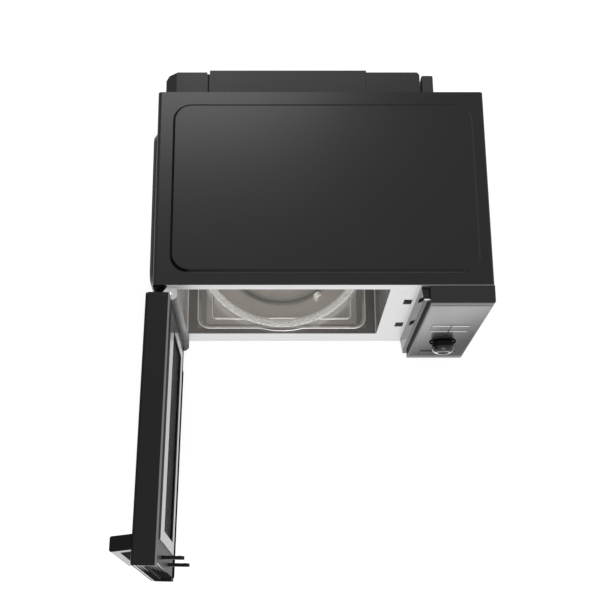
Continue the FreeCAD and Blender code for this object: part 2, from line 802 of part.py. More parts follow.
def housing_outline(inset):
    """Plan outline of the rear housing, inset by a sheet thickness."""
    left = HOUSING_LEFT + inset
    right = HOUSING_RIGHT - inset
    back = CABINET_D + HOUSING_DEPTH - inset
    mid = back + HOUSING_MID_STEP
    low = back - HOUSING_MID_STEP
    mid_left = CAVITY_X - HOUSING_MID_LEFT_W + inset
    mid_right = CAVITY_X + HOUSING_MID_RIGHT_W - inset
    groove = mid_left - HOUSING_GROOVE - 2 * inset
    return [
        (left, CABINET_D), (left, back - HOUSING_BEVEL_LOW),
        (left + HOUSING_BEVEL_X, back - HOUSING_BEVEL_MID), (left + HOUSING_BEVEL_W, back),
        (groove, back), (groove, low), (mid_left, low), (mid_left, mid), (mid_right, mid), (mid_right, back),
        (right - HOUSING_CHAMFER, back), (right, back - HOUSING_CHAMFER), (right, CABINET_D),
    ]


def make_convection_housing():
    """Stepped sheet-steel box on the back that covers the convection fan and its motor."""
    tall = HOUSING_HIGH - HOUSING_LOW
    outer = prism([V(x, y, HOUSING_LOW) for x, y in housing_outline(0)], V(0, 0, tall))
    hollow = prism([V(x, y, HOUSING_LOW + HOUSING_T) for x, y in housing_outline(HOUSING_T)],
                   V(0, 0, tall - 2 * HOUSING_T))
    back = CABINET_D + HOUSING_DEPTH + HOUSING_MID_STEP
    vents = slots_on_back(CAVITY_X, back, HOUSING_LOW + HOUSING_VENT_Z, HOUSING_VENT_COLUMNS, HOUSING_VENT_ROWS)
    return outer.cut(hollow).cut(vents)


def make_wall_spacer():
    """Moulded stand-off that keeps the back clear of a wall."""
    left = HOUSING_RIGHT + SPACER_GAP
    top = TOP_Z - SPACER_TOP_DROP
    block = box(left, left + SPACER_W, CABINET_D, CABINET_D + SPACER_DEPTH, top - SPACER_H, top)
    return round_edges(block, SPACER_R, lambda edge: edge.CenterOfMass.y > CABINET_D + NEAR)


def make_cord_gland():
    """Bushing in the back where the mains lead would enter."""
    sleeve = REAR_T + GLAND_FLANGE_T
    length = sleeve + GLAND_FLANGE_T
    flange = GLAND_R + GLAND_FLANGE_W
    profile = [(GLAND_BORE_R, 0), (GLAND_R, 0), (GLAND_R, sleeve), (flange, sleeve),
               (flange - GLAND_TAPER, length), (GLAND_BORE_R, length)]
    return spun(profile, V(GLAND_X, CABINET_D - sleeve, GLAND_Z), V(0, 1, 0))


def lug_cut(z):
    """Slot in the front plate for one hinge lug."""
    return box(LEFT_X + LUG_LEFT, LEFT_X + LUG_RIGHT, -OVER, PLATE_T + OVER, z - LUG_T / 2, z + LUG_T / 2)


def hook_slot(z, y0, y1):
    """Slot that takes one latch hook as the door swings in."""
    return box(HOOK_X - HOOK_T / 2 - SLOT_LEFT_GAP, HOOK_X + HOOK_T / 2 + SLOT_RIGHT_GAP, y0, y1,
               BASE_Z + z - SLOT_GAP, BASE_Z + z + HOOK_H + HOOK_TRAVEL + SLOT_GAP)


def make_front_plate():
    """Bright steel face around the cavity mouth, with latch slots and hinge slots."""
    plate = cover_block(COVER_T, 0, PLATE_T, BASE_Z)
    kept = box(LEFT_X + COVER_FLANGE_W, PANEL_L + PANEL_LAP, -OVER, PLATE_T + OVER, BASE_Z, TOP_Z)
    mouth = rounded_slab(on_front(-OVER), CAVITY_L, CAVITY_R, FLOOR_Z, CEILING_Z, CAVITY_MOUTH_R,
                         V(0, PLATE_T + 2 * OVER, 0))
    cuts = [mouth, lug_cut(UPPER_LUG_Z), lug_cut(LOWER_LUG_Z)]
    cuts += [hook_slot(z, -OVER, PLATE_T + OVER) for z in (UPPER_HOOK_Z, LOWER_HOOK_Z)]
    return plate.common(kept).cut(cuts)


def through_wall(radius, x, y, z):
    """Round hole along X through a cavity wall."""
    reach = CAVITY_T + OVER
    return rod(radius, V(x - reach, y, z), V(x + reach, y, z))


def make_cavity_shell():
    """Ceiling and side walls of the oven cavity, bent from one sheet."""
    outer = box(CAVITY_L - CAVITY_T, BAY_L, PLATE_T, CAVITY_DEPTH, FLOOR_Z - CAVITY_T, CEILING_Z + CAVITY_T)
    inner = box(CAVITY_L, CAVITY_R, 0, CAVITY_DEPTH + OVER, FLOOR_Z - CAVITY_T - OVER, CEILING_Z)
    guide_z = BASE_Z + GUIDE_Z
    port = box(CAVITY_R - OVER, BAY_L + OVER, GUIDE_Y + PORT_SIDE, GUIDE_Y + GUIDE_D - PORT_SIDE,
               guide_z + PORT_END, guide_z + GUIDE_H - PORT_END)
    cuts = [inner, port]
    cuts += [through_wall(HEATER_TUBE_R + SEAT_GAP, CAVITY_R, y, GRILL_Z) for y in (GRILL_FRONT, GRILL_BACK)]
    for across in row(AIR_HOLE_ROWS, AIR_HOLE_PITCH):
        for up in row(AIR_HOLE_ROWS, AIR_HOLE_PITCH):
            cuts.append(through_wall(AIR_HOLE_R, CAVITY_R, LAMP_Y + across, LAMP_Z + up))
            cuts.append(through_wall(AIR_HOLE_R, CAVITY_L, CAVITY_DEPTH - AIR_VENT_FROM_BACK + across,
                                     CEILING_Z - AIR_VENT_DROP + up))
    return outer.cut(cuts)


def make_cavity_back():
    """Back wall of the cavity, perforated in front of the convection fan."""
    wall = box(CAVITY_L - CAVITY_T, BAY_L, CAVITY_DEPTH, CHAMBER_Y, FLOOR_Z - CAVITY_T, CEILING_Z + CAVITY_T)
    rings = [(FAN_HOLE_PITCH * number, FAN_HOLE_COUNT * number) for number in range(1, FAN_HOLE_ROWS + 1)]
    rings += [(0, 1), (FAN_OUTLET_R, FAN_OUTLET_COUNT)]
    cuts = []
    for ring, count in rings:
        for index in range(count):
            angle = 2 * math.pi * index / count
            x = CAVITY_X + ring * math.cos(angle)
            z = FAN_Z + ring * math.sin(angle)
            cuts.append(rod(FAN_HOLE_R, V(x, CAVITY_DEPTH - OVER, z), V(x, CHAMBER_Y + OVER, z)))
    return wall.cut(cuts)


def floor_recess(drop):
    """Two-step recess of the cavity floor: its upper face, or its lower face when dropped by the sheet."""
    u0 = CAVITY_L + RECESS_MARGIN - drop
    u1 = CAVITY_R - RECESS_MARGIN + drop
    v0 = PLATE_T + RECESS_FRONT - drop
    v1 = CAVITY_DEPTH - RECESS_FRONT + drop
    wide = stamping(lambda w: on_top(FLOOR_Z - drop + w), -1, u0, u1, v0, v1,
                    RECESS_R, RECESS_SLOPE, RECESS_DEPTH)
    deep = stamping(lambda w: on_top(FLOOR_Z - RECESS_DEPTH - drop + w), -1,
                    u0 + WELL_MARGIN, u1 - WELL_MARGIN, v0 + WELL_FRONT, v1 - WELL_FRONT,
                    WELL_R, WELL_SLOPE, WELL_DEPTH)
    return wide.fuse(deep)


def make_cavity_floor():
    """Pressed floor of the cavity, with a recess and well for the turntable."""
    sheet = box(CAVITY_L, CAVITY_R, PLATE_T, CAVITY_DEPTH, FLOOR_Z - CAVITY_T, FLOOR_Z)
    below = box(CAVITY_L, CAVITY_R, PLATE_T, CAVITY_DEPTH, BASE_Z, FLOOR_Z - CAVITY_T / 2)
    pressed = sheet.fuse(floor_recess(CAVITY_T).common(below))
    spindle = rod(SPINDLE_R + SPINDLE_GAP, V(CAVITY_X, TRAY_Y, BASE_Z), V(CAVITY_X, TRAY_Y, FLOOR_Z))
    return pressed.cut([floor_recess(0), spindle])


def make_turntable_motor():
    """Flat geared motor under the cavity floor, with two fixing ears."""
    top = WELL_Z - CAVITY_T
    low = top - TURN_MOTOR_H
    can = rod(TURN_MOTOR_R, V(CAVITY_X, TRAY_Y, low), V(CAVITY_X, TRAY_Y, top))
    reach = TURN_MOTOR_R + TURN_MOTOR_EAR
    ears = rounded_slab(on_top(top - TURN_MOTOR_EAR_T), CAVITY_X - reach, CAVITY_X + reach,
                        TRAY_Y - TURN_MOTOR_EAR_W / 2, TRAY_Y + TURN_MOTOR_EAR_W / 2, TURN_MOTOR_EAR_R,
                        V(0, 0, TURN_MOTOR_EAR_T))
    bore = rod(SPINDLE_R + RUNNING_FIT, V(CAVITY_X, TRAY_Y, low + SPINDLE_SEAT),
               V(CAVITY_X, TRAY_Y, top + OVER))
    plug = box(CAVITY_X - TURN_MOTOR_PLUG_W / 2, CAVITY_X + TURN_MOTOR_PLUG_W / 2,
               TRAY_Y + SPINDLE_R + SPINDLE_GAP, TRAY_Y + TURN_MOTOR_R + TURN_MOTOR_PLUG_D,
               low, low + TURN_MOTOR_PLUG_H)
    return can.fuse([ears, plug]).cut(bore)


def make_turntable_coupler():
    """Three-armed driver on the motor's spindle that carries the glass tray round."""
    centre = V(CAVITY_X, TRAY_Y, TRAY_Z - SEAT_GAP)
    hub = rod(COUPLER_HUB_R, centre - V(0, 0, COUPLER_T + COUPLER_HUB_DROP), centre)
    foot = WELL_Z - CAVITY_T - TURN_MOTOR_H + SPINDLE_SEAT + OVER
    spindle = rod(SPINDLE_R, V(CAVITY_X, TRAY_Y, foot), centre)
    arms = []
    for index in range(COUPLER_ARMS):
        arm = box(0, COUPLER_R, -COUPLER_ARM_W / 2, COUPLER_ARM_W / 2, -COUPLER_T, 0)
        arm.rotate(V(0, 0, 0), V(0, 0, 1), 360 * index / COUPLER_ARMS)
        arm.translate(centre)
        arms.append(arm)
    return hub.fuse([spindle] + arms)


def make_glass_turntable():
    """Shallow glass tray with a raised rim and three driving lugs underneath."""
    rim = TRAY_R - TRAY_RIM_W
    profile = [(0, 0), (TRAY_FLAT_R, 0),
               (TRAY_R - TRAY_RIM_BEVEL, TRAY_RIM_H - TRAY_RIM_BEVEL - TRAY_RIM_ROOT),
               (TRAY_R, TRAY_RIM_H - TRAY_RIM_BEVEL), (TRAY_R, TRAY_RIM_H), (rim, TRAY_RIM_H),
               (rim - TRAY_RIM_BEVEL, TRAY_RIM_H - TRAY_RIM_STEP), (TRAY_FLAT_R, TRAY_T), (0, TRAY_T)]
    centre = V(CAVITY_X, TRAY_Y, TRAY_Z)
    tray = spun(profile, centre, V(0, 0, 1))
    lugs = []
    for index in range(TRAY_LUG_COUNT):
        lug = box(TRAY_LUG_R - TRAY_LUG_L / 2, TRAY_LUG_R + TRAY_LUG_L / 2, -TRAY_LUG_W / 2, TRAY_LUG_W / 2,
                  -TRAY_LUG_H, TRAY_T / 2)
        lug.rotate(V(0, 0, 0), V(0, 0, 1), TRAY_LUG_FIRST_DEG + 360 * index / TRAY_LUG_COUNT)
        lug.translate(centre)
        lugs.append(lug)
    return tray.fuse(lugs)


def roller_spot(index, radius):
    """Point on a roller's axle, at a distance from the turntable's axis."""
    angle = math.radians(ROLLER_FIRST_DEG + index * 360 / ROLLER_COUNT)
    return V(CAVITY_X + radius * math.cos(angle), TRAY_Y + radius * math.sin(angle), ROLLER_Z)


def make_roller_ring():
    """Ring that runs under the tray, with a stub axle for each roller."""
    low = V(CAVITY_X, TRAY_Y, ROLLER_Z - RING_T / 2)
    high = low + V(0, 0, RING_T)
    ring = rod(RING_R + RING_W / 2, low, high).cut(rod(RING_R - RING_W / 2, low, high))
    tip = ROLLER_OUT + SEAT_GAP
    axles = []
    for index in range(ROLLER_COUNT):
        end = roller_spot(index, tip + AXLE_LIP)
        axles.append(rod(AXLE_R, roller_spot(index, RING_R), end))
        axles.append(rod(AXLE_R + AXLE_LIP_RISE, roller_spot(index, tip), end))
    return ring.fuse(axles)


def make_roller(index):
    """One roller of the turntable ring, with softened edges."""
    start = roller_spot(index, ROLLER_IN)
    axis = (roller_spot(index, ROLLER_OUT) - start).normalize()
    bore = AXLE_R + RUNNING_FIT
    profile = [(bore, 0), (ROLLER_R - ROLLER_EDGE, 0), (ROLLER_R, ROLLER_EDGE_W),
               (ROLLER_R, ROLLER_W - ROLLER_EDGE_W), (ROLLER_R - ROLLER_EDGE, ROLLER_W), (bore, ROLLER_W)]
    return spun(profile, start, axis)


def make_fan_chamber():
    """Shallow pan behind the cavity that holds the convection fan and its ring heater."""
    half = CHAMBER_SIZE / 2
    outer = box(CAVITY_X - half, CAVITY_X + half, CHAMBER_Y, CHAMBER_BACK, FAN_Z - half, FAN_Z + half)
    half = half - CAVITY_T
    hollow = box(CAVITY_X - half, CAVITY_X + half, CHAMBER_Y - OVER, CHAMBER_BACK - CAVITY_T,
                 FAN_Z - half, FAN_Z + half)
    shaft = rod(MOTOR_SHAFT_R + SHAFT_HOLE_GAP, V(CAVITY_X, CHAMBER_Y, FAN_Z),
                V(CAVITY_X, CHAMBER_BACK + OVER, FAN_Z))
    cuts = [hollow, shaft]
    for x in heater_ends():
        cuts.append(rod(HEATER_TUBE_R, V(x, CHAMBER_Y, HEATER_END_Z), V(x, CHAMBER_BACK + OVER, HEATER_END_Z)))
    return outer.cut(cuts)


def heater_ends():
    """Widths at which the ring heater's two ends leave the chamber."""
    reach = RING_HEATER_R * math.sin(math.radians(HEATER_END_DEG))
    return (CAVITY_X - reach, CAVITY_X + reach)


def make_convection_heater():
    """Ring heating element round the convection fan, with its ends through the chamber's back."""
    sweep = 360 - 2 * HEATER_END_DEG
    ring = Part.makeTorus(RING_HEATER_R, HEATER_TUBE_R, V(0, 0, 0), V(0, 0, 1), -180, 180, sweep)
    ring.rotate(V(0, 0, 0), V(0, 0, 1), HEATER_END_DEG - 90)
    ring.rotate(V(0, 0, 0), V(1, 0, 0), 90)
    ring.translate(V(CAVITY_X, FAN_Y, FAN_Z))
    tails = []
    for x in heater_ends():
        corner = V(x, FAN_Y, HEATER_END_Z)
        tails.append(Part.makeSphere(HEATER_TUBE_R, corner))
        tails.append(rod(HEATER_TUBE_R, corner, V(x, CHAMBER_BACK + HEATER_TAIL, HEATER_END_Z)))
    return ring.fuse(tails)


def make_convection_fan():
    """Bladed wheel on the shaft of the convection motor."""
    back = CHAMBER_BACK - FAN_BACK_GAP
    front = back - FAN_BLADE_D
    axis = V(CAVITY_X, 0, FAN_Z)
    hub = rod(FAN_HUB_R, axis + V(0, front, 0), axis + V(0, back, 0))
    disc = rod(FAN_R, axis + V(0, back - FAN_DISC_T, 0), axis + V(0, back, 0))
    shaft_end = CHAMBER_BACK + CONVECTION_MOTOR_L - MOTOR_SHAFT_END
    shaft = rod(MOTOR_SHAFT_R, axis + V(0, back - FAN_DISC_T, 0), axis + V(0, shaft_end, 0))
    blades = []
    for index in range(FAN_BLADES):
        blade = box(FAN_HUB_R - FAN_BLADE_T, FAN_R - FAN_BLADE_SETBACK, front, back - FAN_DISC_T / 2,
                    -FAN_BLADE_T / 2, FAN_BLADE_T / 2)
        blade.rotate(V(0, 0, 0), V(0, 1, 0), 360 * index / FAN_BLADES)
        blade.translate(axis)
        blades.append(blade)
    return hub.fuse([disc, shaft] + blades)


def make_convection_motor():
    """Motor of the convection fan, fixed to the back of the chamber."""
    front = V(CAVITY_X, CHAMBER_BACK, FAN_Z)
    rear = front + V(0, CONVECTION_MOTOR_L, 0)
    can = rod(CONVECTION_MOTOR_R, front, rear)
    ears = box(CAVITY_X - CONVECTION_EAR_L / 2, CAVITY_X + CONVECTION_EAR_L / 2,
               CHAMBER_BACK, CHAMBER_BACK + CONVECTION_EAR_T,
               FAN_Z - CONVECTION_EAR_H / 2, FAN_Z + CONVECTION_EAR_H / 2)
    bore = rod(MOTOR_SHAFT_R + RUNNING_FIT, front - V(0, OVER, 0), rear - V(0, MOTOR_BORE_END, 0))
    return can.fuse(ears).cut(bore)


def make_grill_heater():
    """Hairpin heating element under the ceiling, hung from two straps."""
    left = CAVITY_L + GRILL_LEFT_MARGIN + GRILL_SPAN / 2
    right = BAY_L + GRILL_TAIL
    bend = Part.makeTorus(GRILL_SPAN / 2, HEATER_TUBE_R, V(0, 0, 0), V(0, 0, 1), -180, 180, 180)
    bend.rotate(V(0, 0, 0), V(0, 0, 1), 90)
    bend.translate(V(left, GRILL_FRONT + GRILL_SPAN / 2, GRILL_Z))
    legs = (GRILL_FRONT, GRILL_BACK)
    runs = [rod(HEATER_TUBE_R, V(left, y, GRILL_Z), V(right, y, GRILL_Z)) for y in legs]
    solids = [bend.fuse(runs)]
    for x in (left + STRAP_LEFT, CAVITY_R - STRAP_RIGHT):
        strap = box(x, x + STRAP_T, GRILL_FRONT - STRAP_OVERHANG, GRILL_BACK + STRAP_OVERHANG,
                    GRILL_Z - STRAP_DROP, CEILING_Z)
        holes = [rod(HEATER_TUBE_R + RUNNING_FIT, V(x - OVER, y, GRILL_Z), V(x + STRAP_T + OVER, y, GRILL_Z))
                 for y in legs]
        solids.append(strap.cut(holes))
    return Part.makeCompound(solids)


def make_thermal_cutout():
    """Round thermostat on top of the cavity, with two blade terminals."""
    foot = V(CAVITY_X, CUTOUT_Y, CEILING_Z + CAVITY_T)
    body = rod(CUTOUT_R, foot, foot + V(0, 0, CUTOUT_H))
    plate = box(foot.x - CUTOUT_PLATE_L / 2, foot.x + CUTOUT_PLATE_L / 2,
                foot.y - CUTOUT_PLATE_W / 2, foot.y + CUTOUT_PLATE_W / 2, foot.z, foot.z + CUTOUT_PLATE_T)
    blades = []
    for x in (foot.x - CUTOUT_BLADE_PITCH / 2, foot.x + CUTOUT_BLADE_PITCH / 2):
        blades.append(box(x - CUTOUT_BLADE_T / 2, x + CUTOUT_BLADE_T / 2,
                          foot.y - CUTOUT_BLADE_W / 2, foot.y + CUTOUT_BLADE_W / 2,
                          foot.z + CUTOUT_PLATE_T, foot.z + CUTOUT_BLADE_H))
    return body.fuse([plate] + blades)


def make_oven_lamp():
    """Lamp holder and bulb outside the cavity's perforated lamp window."""
    half = LAMP_HOLDER_SIZE / 2
    seat = LAMP_Z - half + LAMP_HOLDER_T
    holder = box(BAY_L, BAY_L + LAMP_HOLDER_L, LAMP_Y - half, LAMP_Y + half, LAMP_Z - half, seat)
    foot = V(BAY_L + LAMP_BULB_X, LAMP_Y, seat)
    cap = rod(LAMP_CAP_R, foot, foot + V(0, 0, LAMP_CAP_H))
    bulb = Part.makeSphere(LAMP_BULB_R, V(foot.x, foot.y, LAMP_Z))
    return holder.fuse([cap, bulb])


def make_waveguide():
    """Rectangular duct that carries the microwaves from the magnetron to the cavity."""
    z0 = BASE_Z + GUIDE_Z
    outer = box(BAY_L, GUIDE_END, GUIDE_Y, GUIDE_Y + GUIDE_D, z0, z0 + GUIDE_H)
    inner = box(BAY_L - OVER, GUIDE_END - GUIDE_T, GUIDE_Y + GUIDE_T, GUIDE_Y + GUIDE_D - GUIDE_T,
                z0 + GUIDE_T, z0 + GUIDE_H - GUIDE_T)
    middle = V(GUIDE_END, GUIDE_Y + GUIDE_D / 2, z0 + GUIDE_H / 2)
    reach = V(GUIDE_T + OVER, 0, 0)
    return outer.cut([inner, rod(ANTENNA_R + ANTENNA_GAP, middle - reach, middle + reach)])


def make_waveguide_cover():
    """Mica sheet over the microwave port, on the cavity's right wall."""
    z0 = BASE_Z + GUIDE_Z
    return rounded_slab(on_side(CAVITY_R - PORT_COVER_T),
                        GUIDE_Y + PORT_COVER_SIDE, GUIDE_Y + GUIDE_D - PORT_COVER_SIDE,
                        z0 + PORT_COVER_END, z0 + GUIDE_H - PORT_COVER_END, PORT_COVER_R, V(PORT_COVER_T, 0, 0))


def make_magnetron():
    """Magnetron with its antenna, cooling fins and filter box, bolted to the waveguide."""
    middle = V(GUIDE_END, GUIDE_Y + GUIDE_D / 2, BASE_Z + GUIDE_Z + GUIDE_H / 2)

    def slab(start, end, deep, tall):
        """Block centred on the magnetron's axis, between two distances from the waveguide."""
        block = box(start, end, -deep / 2, deep / 2, -tall / 2, tall / 2)
        block.translate(middle)
        return block

    yoke_end = MAGNETRON_L * MAGNETRON_YOKE_SHARE
    base = slab(0, MAGNETRON_SHEET, MAGNETRON_BASE_D, MAGNETRON_BASE_H)
    yoke = slab(0, yoke_end, MAGNETRON_D, MAGNETRON_H)
    inside = slab(MAGNETRON_SHEET, yoke_end - MAGNETRON_SHEET, MAGNETRON_D - 2 * MAGNETRON_SHEET,
                  MAGNETRON_H + 2 * OVER)
    core = rod(MAGNETRON_CORE_R, middle, middle + V(yoke_end, 0, 0))
    antenna = rod(ANTENNA_R, middle - V(ANTENNA_L, 0, 0), middle + V(MAGNETRON_SHEET, 0, 0))
    pitch = yoke_end / (MAGNETRON_FINS + 1)
    fins = [slab(pitch * number, pitch * number + MAGNETRON_FIN_T, MAGNETRON_D - MAGNETRON_SHEET, MAGNETRON_H)
            for number in range(1, MAGNETRON_FINS + 1)]
    filter_box = slab(yoke_end, MAGNETRON_L, FILTER_SIZE, FILTER_SIZE)
    return yoke.cut(inside).fuse([base, core, antenna, filter_box] + fins)


def make_high_voltage_transformer():
    """Laminated transformer with two windings, on the base plate."""
    half = TRANSFORMER_SHARE * (BAY_R - BAY_L) / 2
    y0 = TRANSFORMER_Y
    y1 = TRANSFORMER_Y + TRANSFORMER_D
    z = BASE_Z + BASE_T
    core = box(BAY_X - half, BAY_X + half, y0, y1, z, z + TRANSFORMER_H)
    windings = []
    for lift in (WINDING_LOW, WINDING_HIGH):
        coil = box(BAY_X - half + WINDING_INSET, BAY_X + half - WINDING_INSET, y0 - WINDING_PROUD,
                   y1 + WINDING_PROUD, z + lift, z + lift + WINDING_H)
        windings.append(round_edges(coil, WINDING_R, is_upright))
    foot = half + TRANSFORMER_FOOT
    feet = box(BAY_X - foot, BAY_X + foot, y0 + TRANSFORMER_FOOT_INSET, y1 - TRANSFORMER_FOOT_INSET,
               z, z + TRANSFORMER_FOOT_T)
    return core.fuse(windings + [feet])


def make_high_voltage_capacitor():
    """Oval-ended metal-can capacitor with two terminals, on the base plate."""
    half = CAPACITOR_SHARE * (BAY_R - BAY_L) / 2
    x0 = BAY_X - half
    x1 = BAY_X + half
    z = BASE_Z + BASE_T
    can = rounded_slab(on_side(x0), CAPACITOR_Y, CAPACITOR_Y + CAPACITOR_D, z, z + CAPACITOR_H, CAPACITOR_R,
                       V(x1 - x0, 0, 0))
    middle = z + CAPACITOR_H / 2
    posts = []
    for offset in row(2, CAPACITOR_POST_PITCH):
        y = CAPACITOR_Y + CAPACITOR_D / 2 + offset
        posts.append(box(x1, x1 + CAPACITOR_POST_L, y - CAPACITOR_POST_W / 2, y + CAPACITOR_POST_W / 2,
                         middle - CAPACITOR_POST_H / 2, middle + CAPACITOR_POST_H / 2))
    return can.fuse(posts)


def make_cooling_fan_shroud():
    """Moulded panel with a round throat that ducts the cooling fan's air."""
    half = COOLING_FAN_R + SHROUD_MARGIN
    back = SHROUD_Y + SHROUD_T
    centre = V(BAY_X, SHROUD_Y, COOLING_UP)
    bore_r = COOLING_FAN_R + SHROUD_THROAT_GAP
    plate = box(BAY_L, BAY_R - SHROUD_GAP, SHROUD_Y, back, COOLING_UP - half, COOLING_UP + half)
    throat = rod(bore_r + SHROUD_THROAT_T, centre, centre + V(0, SHROUD_THROAT_L, 0))
    bore = rod(bore_r, centre - V(0, OVER, 0), centre + V(0, SHROUD_THROAT_L + OVER, 0))
    reach = COOLING_FAN_R + SHROUD_ARM_LAP
    arms = box(BAY_X - reach, BAY_X + reach, SHROUD_Y, back,
               COOLING_UP - SHROUD_ARM_H / 2, COOLING_UP + SHROUD_ARM_H / 2)
    hole = rod(MOTOR_SHAFT_R + SHROUD_HOLE_GAP, centre - V(0, OVER, 0), centre + V(0, SHROUD_T + OVER, 0))
    leg = box(BAY_X - SHROUD_LEG_W / 2, BAY_X + SHROUD_LEG_W / 2, SHROUD_Y, back,
              BASE_Z + BASE_T, COOLING_UP - half)
    return plate.fuse([throat, leg]).cut(bore).fuse(arms).cut(hole)


def make_cooling_fan_motor():
    """Shaded-pole motor in front of the shroud's arms."""
    rear = SHROUD_Y - COOLING_MOTOR_GAP
    core = box(BAY_X - COOLING_MOTOR_W / 2, BAY_X + COOLING_MOTOR_W / 2, rear - COOLING_MOTOR_D, rear,
               COOLING_UP - COOLING_MOTOR_H / 2, COOLING_UP + COOLING_MOTOR_H / 2)
    coil = box(BAY_X - COOLING_COIL_W / 2, BAY_X + COOLING_COIL_W / 2, SHROUD_Y - COOLING_COIL_D, SHROUD_Y,
               COOLING_UP - COOLING_COIL_LOW, COOLING_UP - COOLING_COIL_HIGH)
    studs = []
    for x in (BAY_X - COOLING_STUD_PITCH / 2, BAY_X + COOLING_STUD_PITCH / 2):
        studs.append(rod(COOLING_STUD_R, V(x, rear - COOLING_STUD_LAP, COOLING_UP), V(x, SHROUD_Y, COOLING_UP)))
    bore = rod(MOTOR_SHAFT_R + RUNNING_FIT, V(BAY_X, SHROUD_Y - COOLING_BORE_L, COOLING_UP),
               V(BAY_X, SHROUD_Y, COOLING_UP))
    return core.fuse([coil] + studs).cut(bore)


def make_cooling_fan_blade():
    """Five-bladed cooling fan on its motor's shaft."""
    axis = V(BAY_X, 0, COOLING_UP)
    y = SHROUD_Y + COOLING_BLADE_SETBACK
    hub = rod(COOLING_HUB_R, axis + V(0, y - COOLING_HUB_L / 2, 0), axis + V(0, y + COOLING_HUB_L / 2, 0))
    shaft = rod(MOTOR_SHAFT_R, axis + V(0, SHROUD_Y - COOLING_SHAFT_L, 0),
                axis + V(0, y + COOLING_SHAFT_TIP, 0))
    blades = []
    for index in range(COOLING_BLADES):
        blade = box(COOLING_BLADE_ROOT, COOLING_FAN_R, -COOLING_BLADE_T / 2, COOLING_BLADE_T / 2,
                    -COOLING_BLADE_D / 2, COOLING_BLADE_D / 2)
        blade.rotate(V(0, 0, 0), V(1, 0, 0), COOLING_PITCH_DEG)
        blade.rotate(V(0, 0, 0), V(0, 1, 0), 360 * index / COOLING_BLADES)
        blade.translate(axis + V(0, y, 0))
        blades.append(blade)
    disc = rod(COOLING_FAN_R, axis + V(0, y - COOLING_BLADE_D, 0), axis + V(0, y + COOLING_BLADE_D, 0))
    return hub.fuse([shaft] + blades).common(disc.fuse(shaft))


def interlock_sides():
    """Left and right inner faces of the channel behind the latch slots."""
    slot = hook_slot(LOWER_HOOK_Z, 0, PLATE_T).BoundBox
    return slot.XMin - INTERLOCK_GAP, slot.XMax + INTERLOCK_GAP


def make_interlock_bracket():
    """Moulded channel behind the latch slots that receives the hooks."""
    x0, x1 = interlock_sides()
    z0 = BASE_Z + LOWER_HOOK_Z - INTERLOCK_LOW
    z1 = BASE_Z + UPPER_HOOK_Z + HOOK_H + INTERLOCK_HIGH
    end = PLATE_T + HOOK_REACH + INTERLOCK_END
    outer = box(x0 - INTERLOCK_T, x1 + INTERLOCK_T, PLATE_T, end + INTERLOCK_T,
                z0 - INTERLOCK_T, z1 + INTERLOCK_T)
    return outer.cut(box(x0, x1, 0, end, z0, z1))


def make_interlock_switches():
    """Three microswitches on the side of the interlock bracket, as a group."""
    wall = interlock_sides()[1] + INTERLOCK_T
    y0 = PLATE_T + MICROSWITCH_SETBACK
    y1 = y0 + MICROSWITCH_D
    x = wall + MICROSWITCH_W / 2
    switches = []
    for height in (LOWER_HOOK_Z, LOWER_HOOK_Z + MICROSWITCH_STEP, UPPER_HOOK_Z):
        z = BASE_Z + height + MICROSWITCH_RISE
        case = box(wall, wall + MICROSWITCH_W, y0, y1, z - MICROSWITCH_H / 2, z + MICROSWITCH_H / 2)
        blades = [box(x - MICROSWITCH_BLADE_T / 2, x + MICROSWITCH_BLADE_T / 2, y1, y1 + MICROSWITCH_BLADE_L,
                      z + up - MICROSWITCH_BLADE_H / 2, z + up + MICROSWITCH_BLADE_H / 2)
                  for up in row(2, MICROSWITCH_BLADE_PITCH)]
        switches.append(case.fuse(blades))
    return Part.makeCompound(switches)


def make_control_side_trim():
    """Set-back strip between the cavity face and the control panel, which the closed door covers."""
    low = BASE_Z + TRIM_BOTTOM_RISE
    high = TOP_Z - TRIM_TOP_DROP
    outline = [V(TRIM_L, 0, low), V(TRIM_L + TRIM_DRAFT, -TRIM_PROUD, low), V(PANEL_L, -TRIM_PROUD, low), V(PANEL_L, 0, low)]
    block = round_edges(prism(outline, V(0, 0, high - low)), TRIM_EDGE_R, lambda edge:
                        low + NEAR < edge.CenterOfMass.z and edge.CenterOfMass.x < PANEL_L - NEAR
                        and (edge.CenterOfMass.y < NEAR - TRIM_PROUD
                             or edge.CenterOfMass.z > high - NEAR and edge.CenterOfMass.x < TRIM_L + TRIM_DRAFT))
    foot = box(DOOR_R + REBATE_GAP, PANEL_L, -TRIM_PROUD, 0, BASE_Z - TRIM_FOOT_DROP, low + OVER)
    return block.fuse(foot)


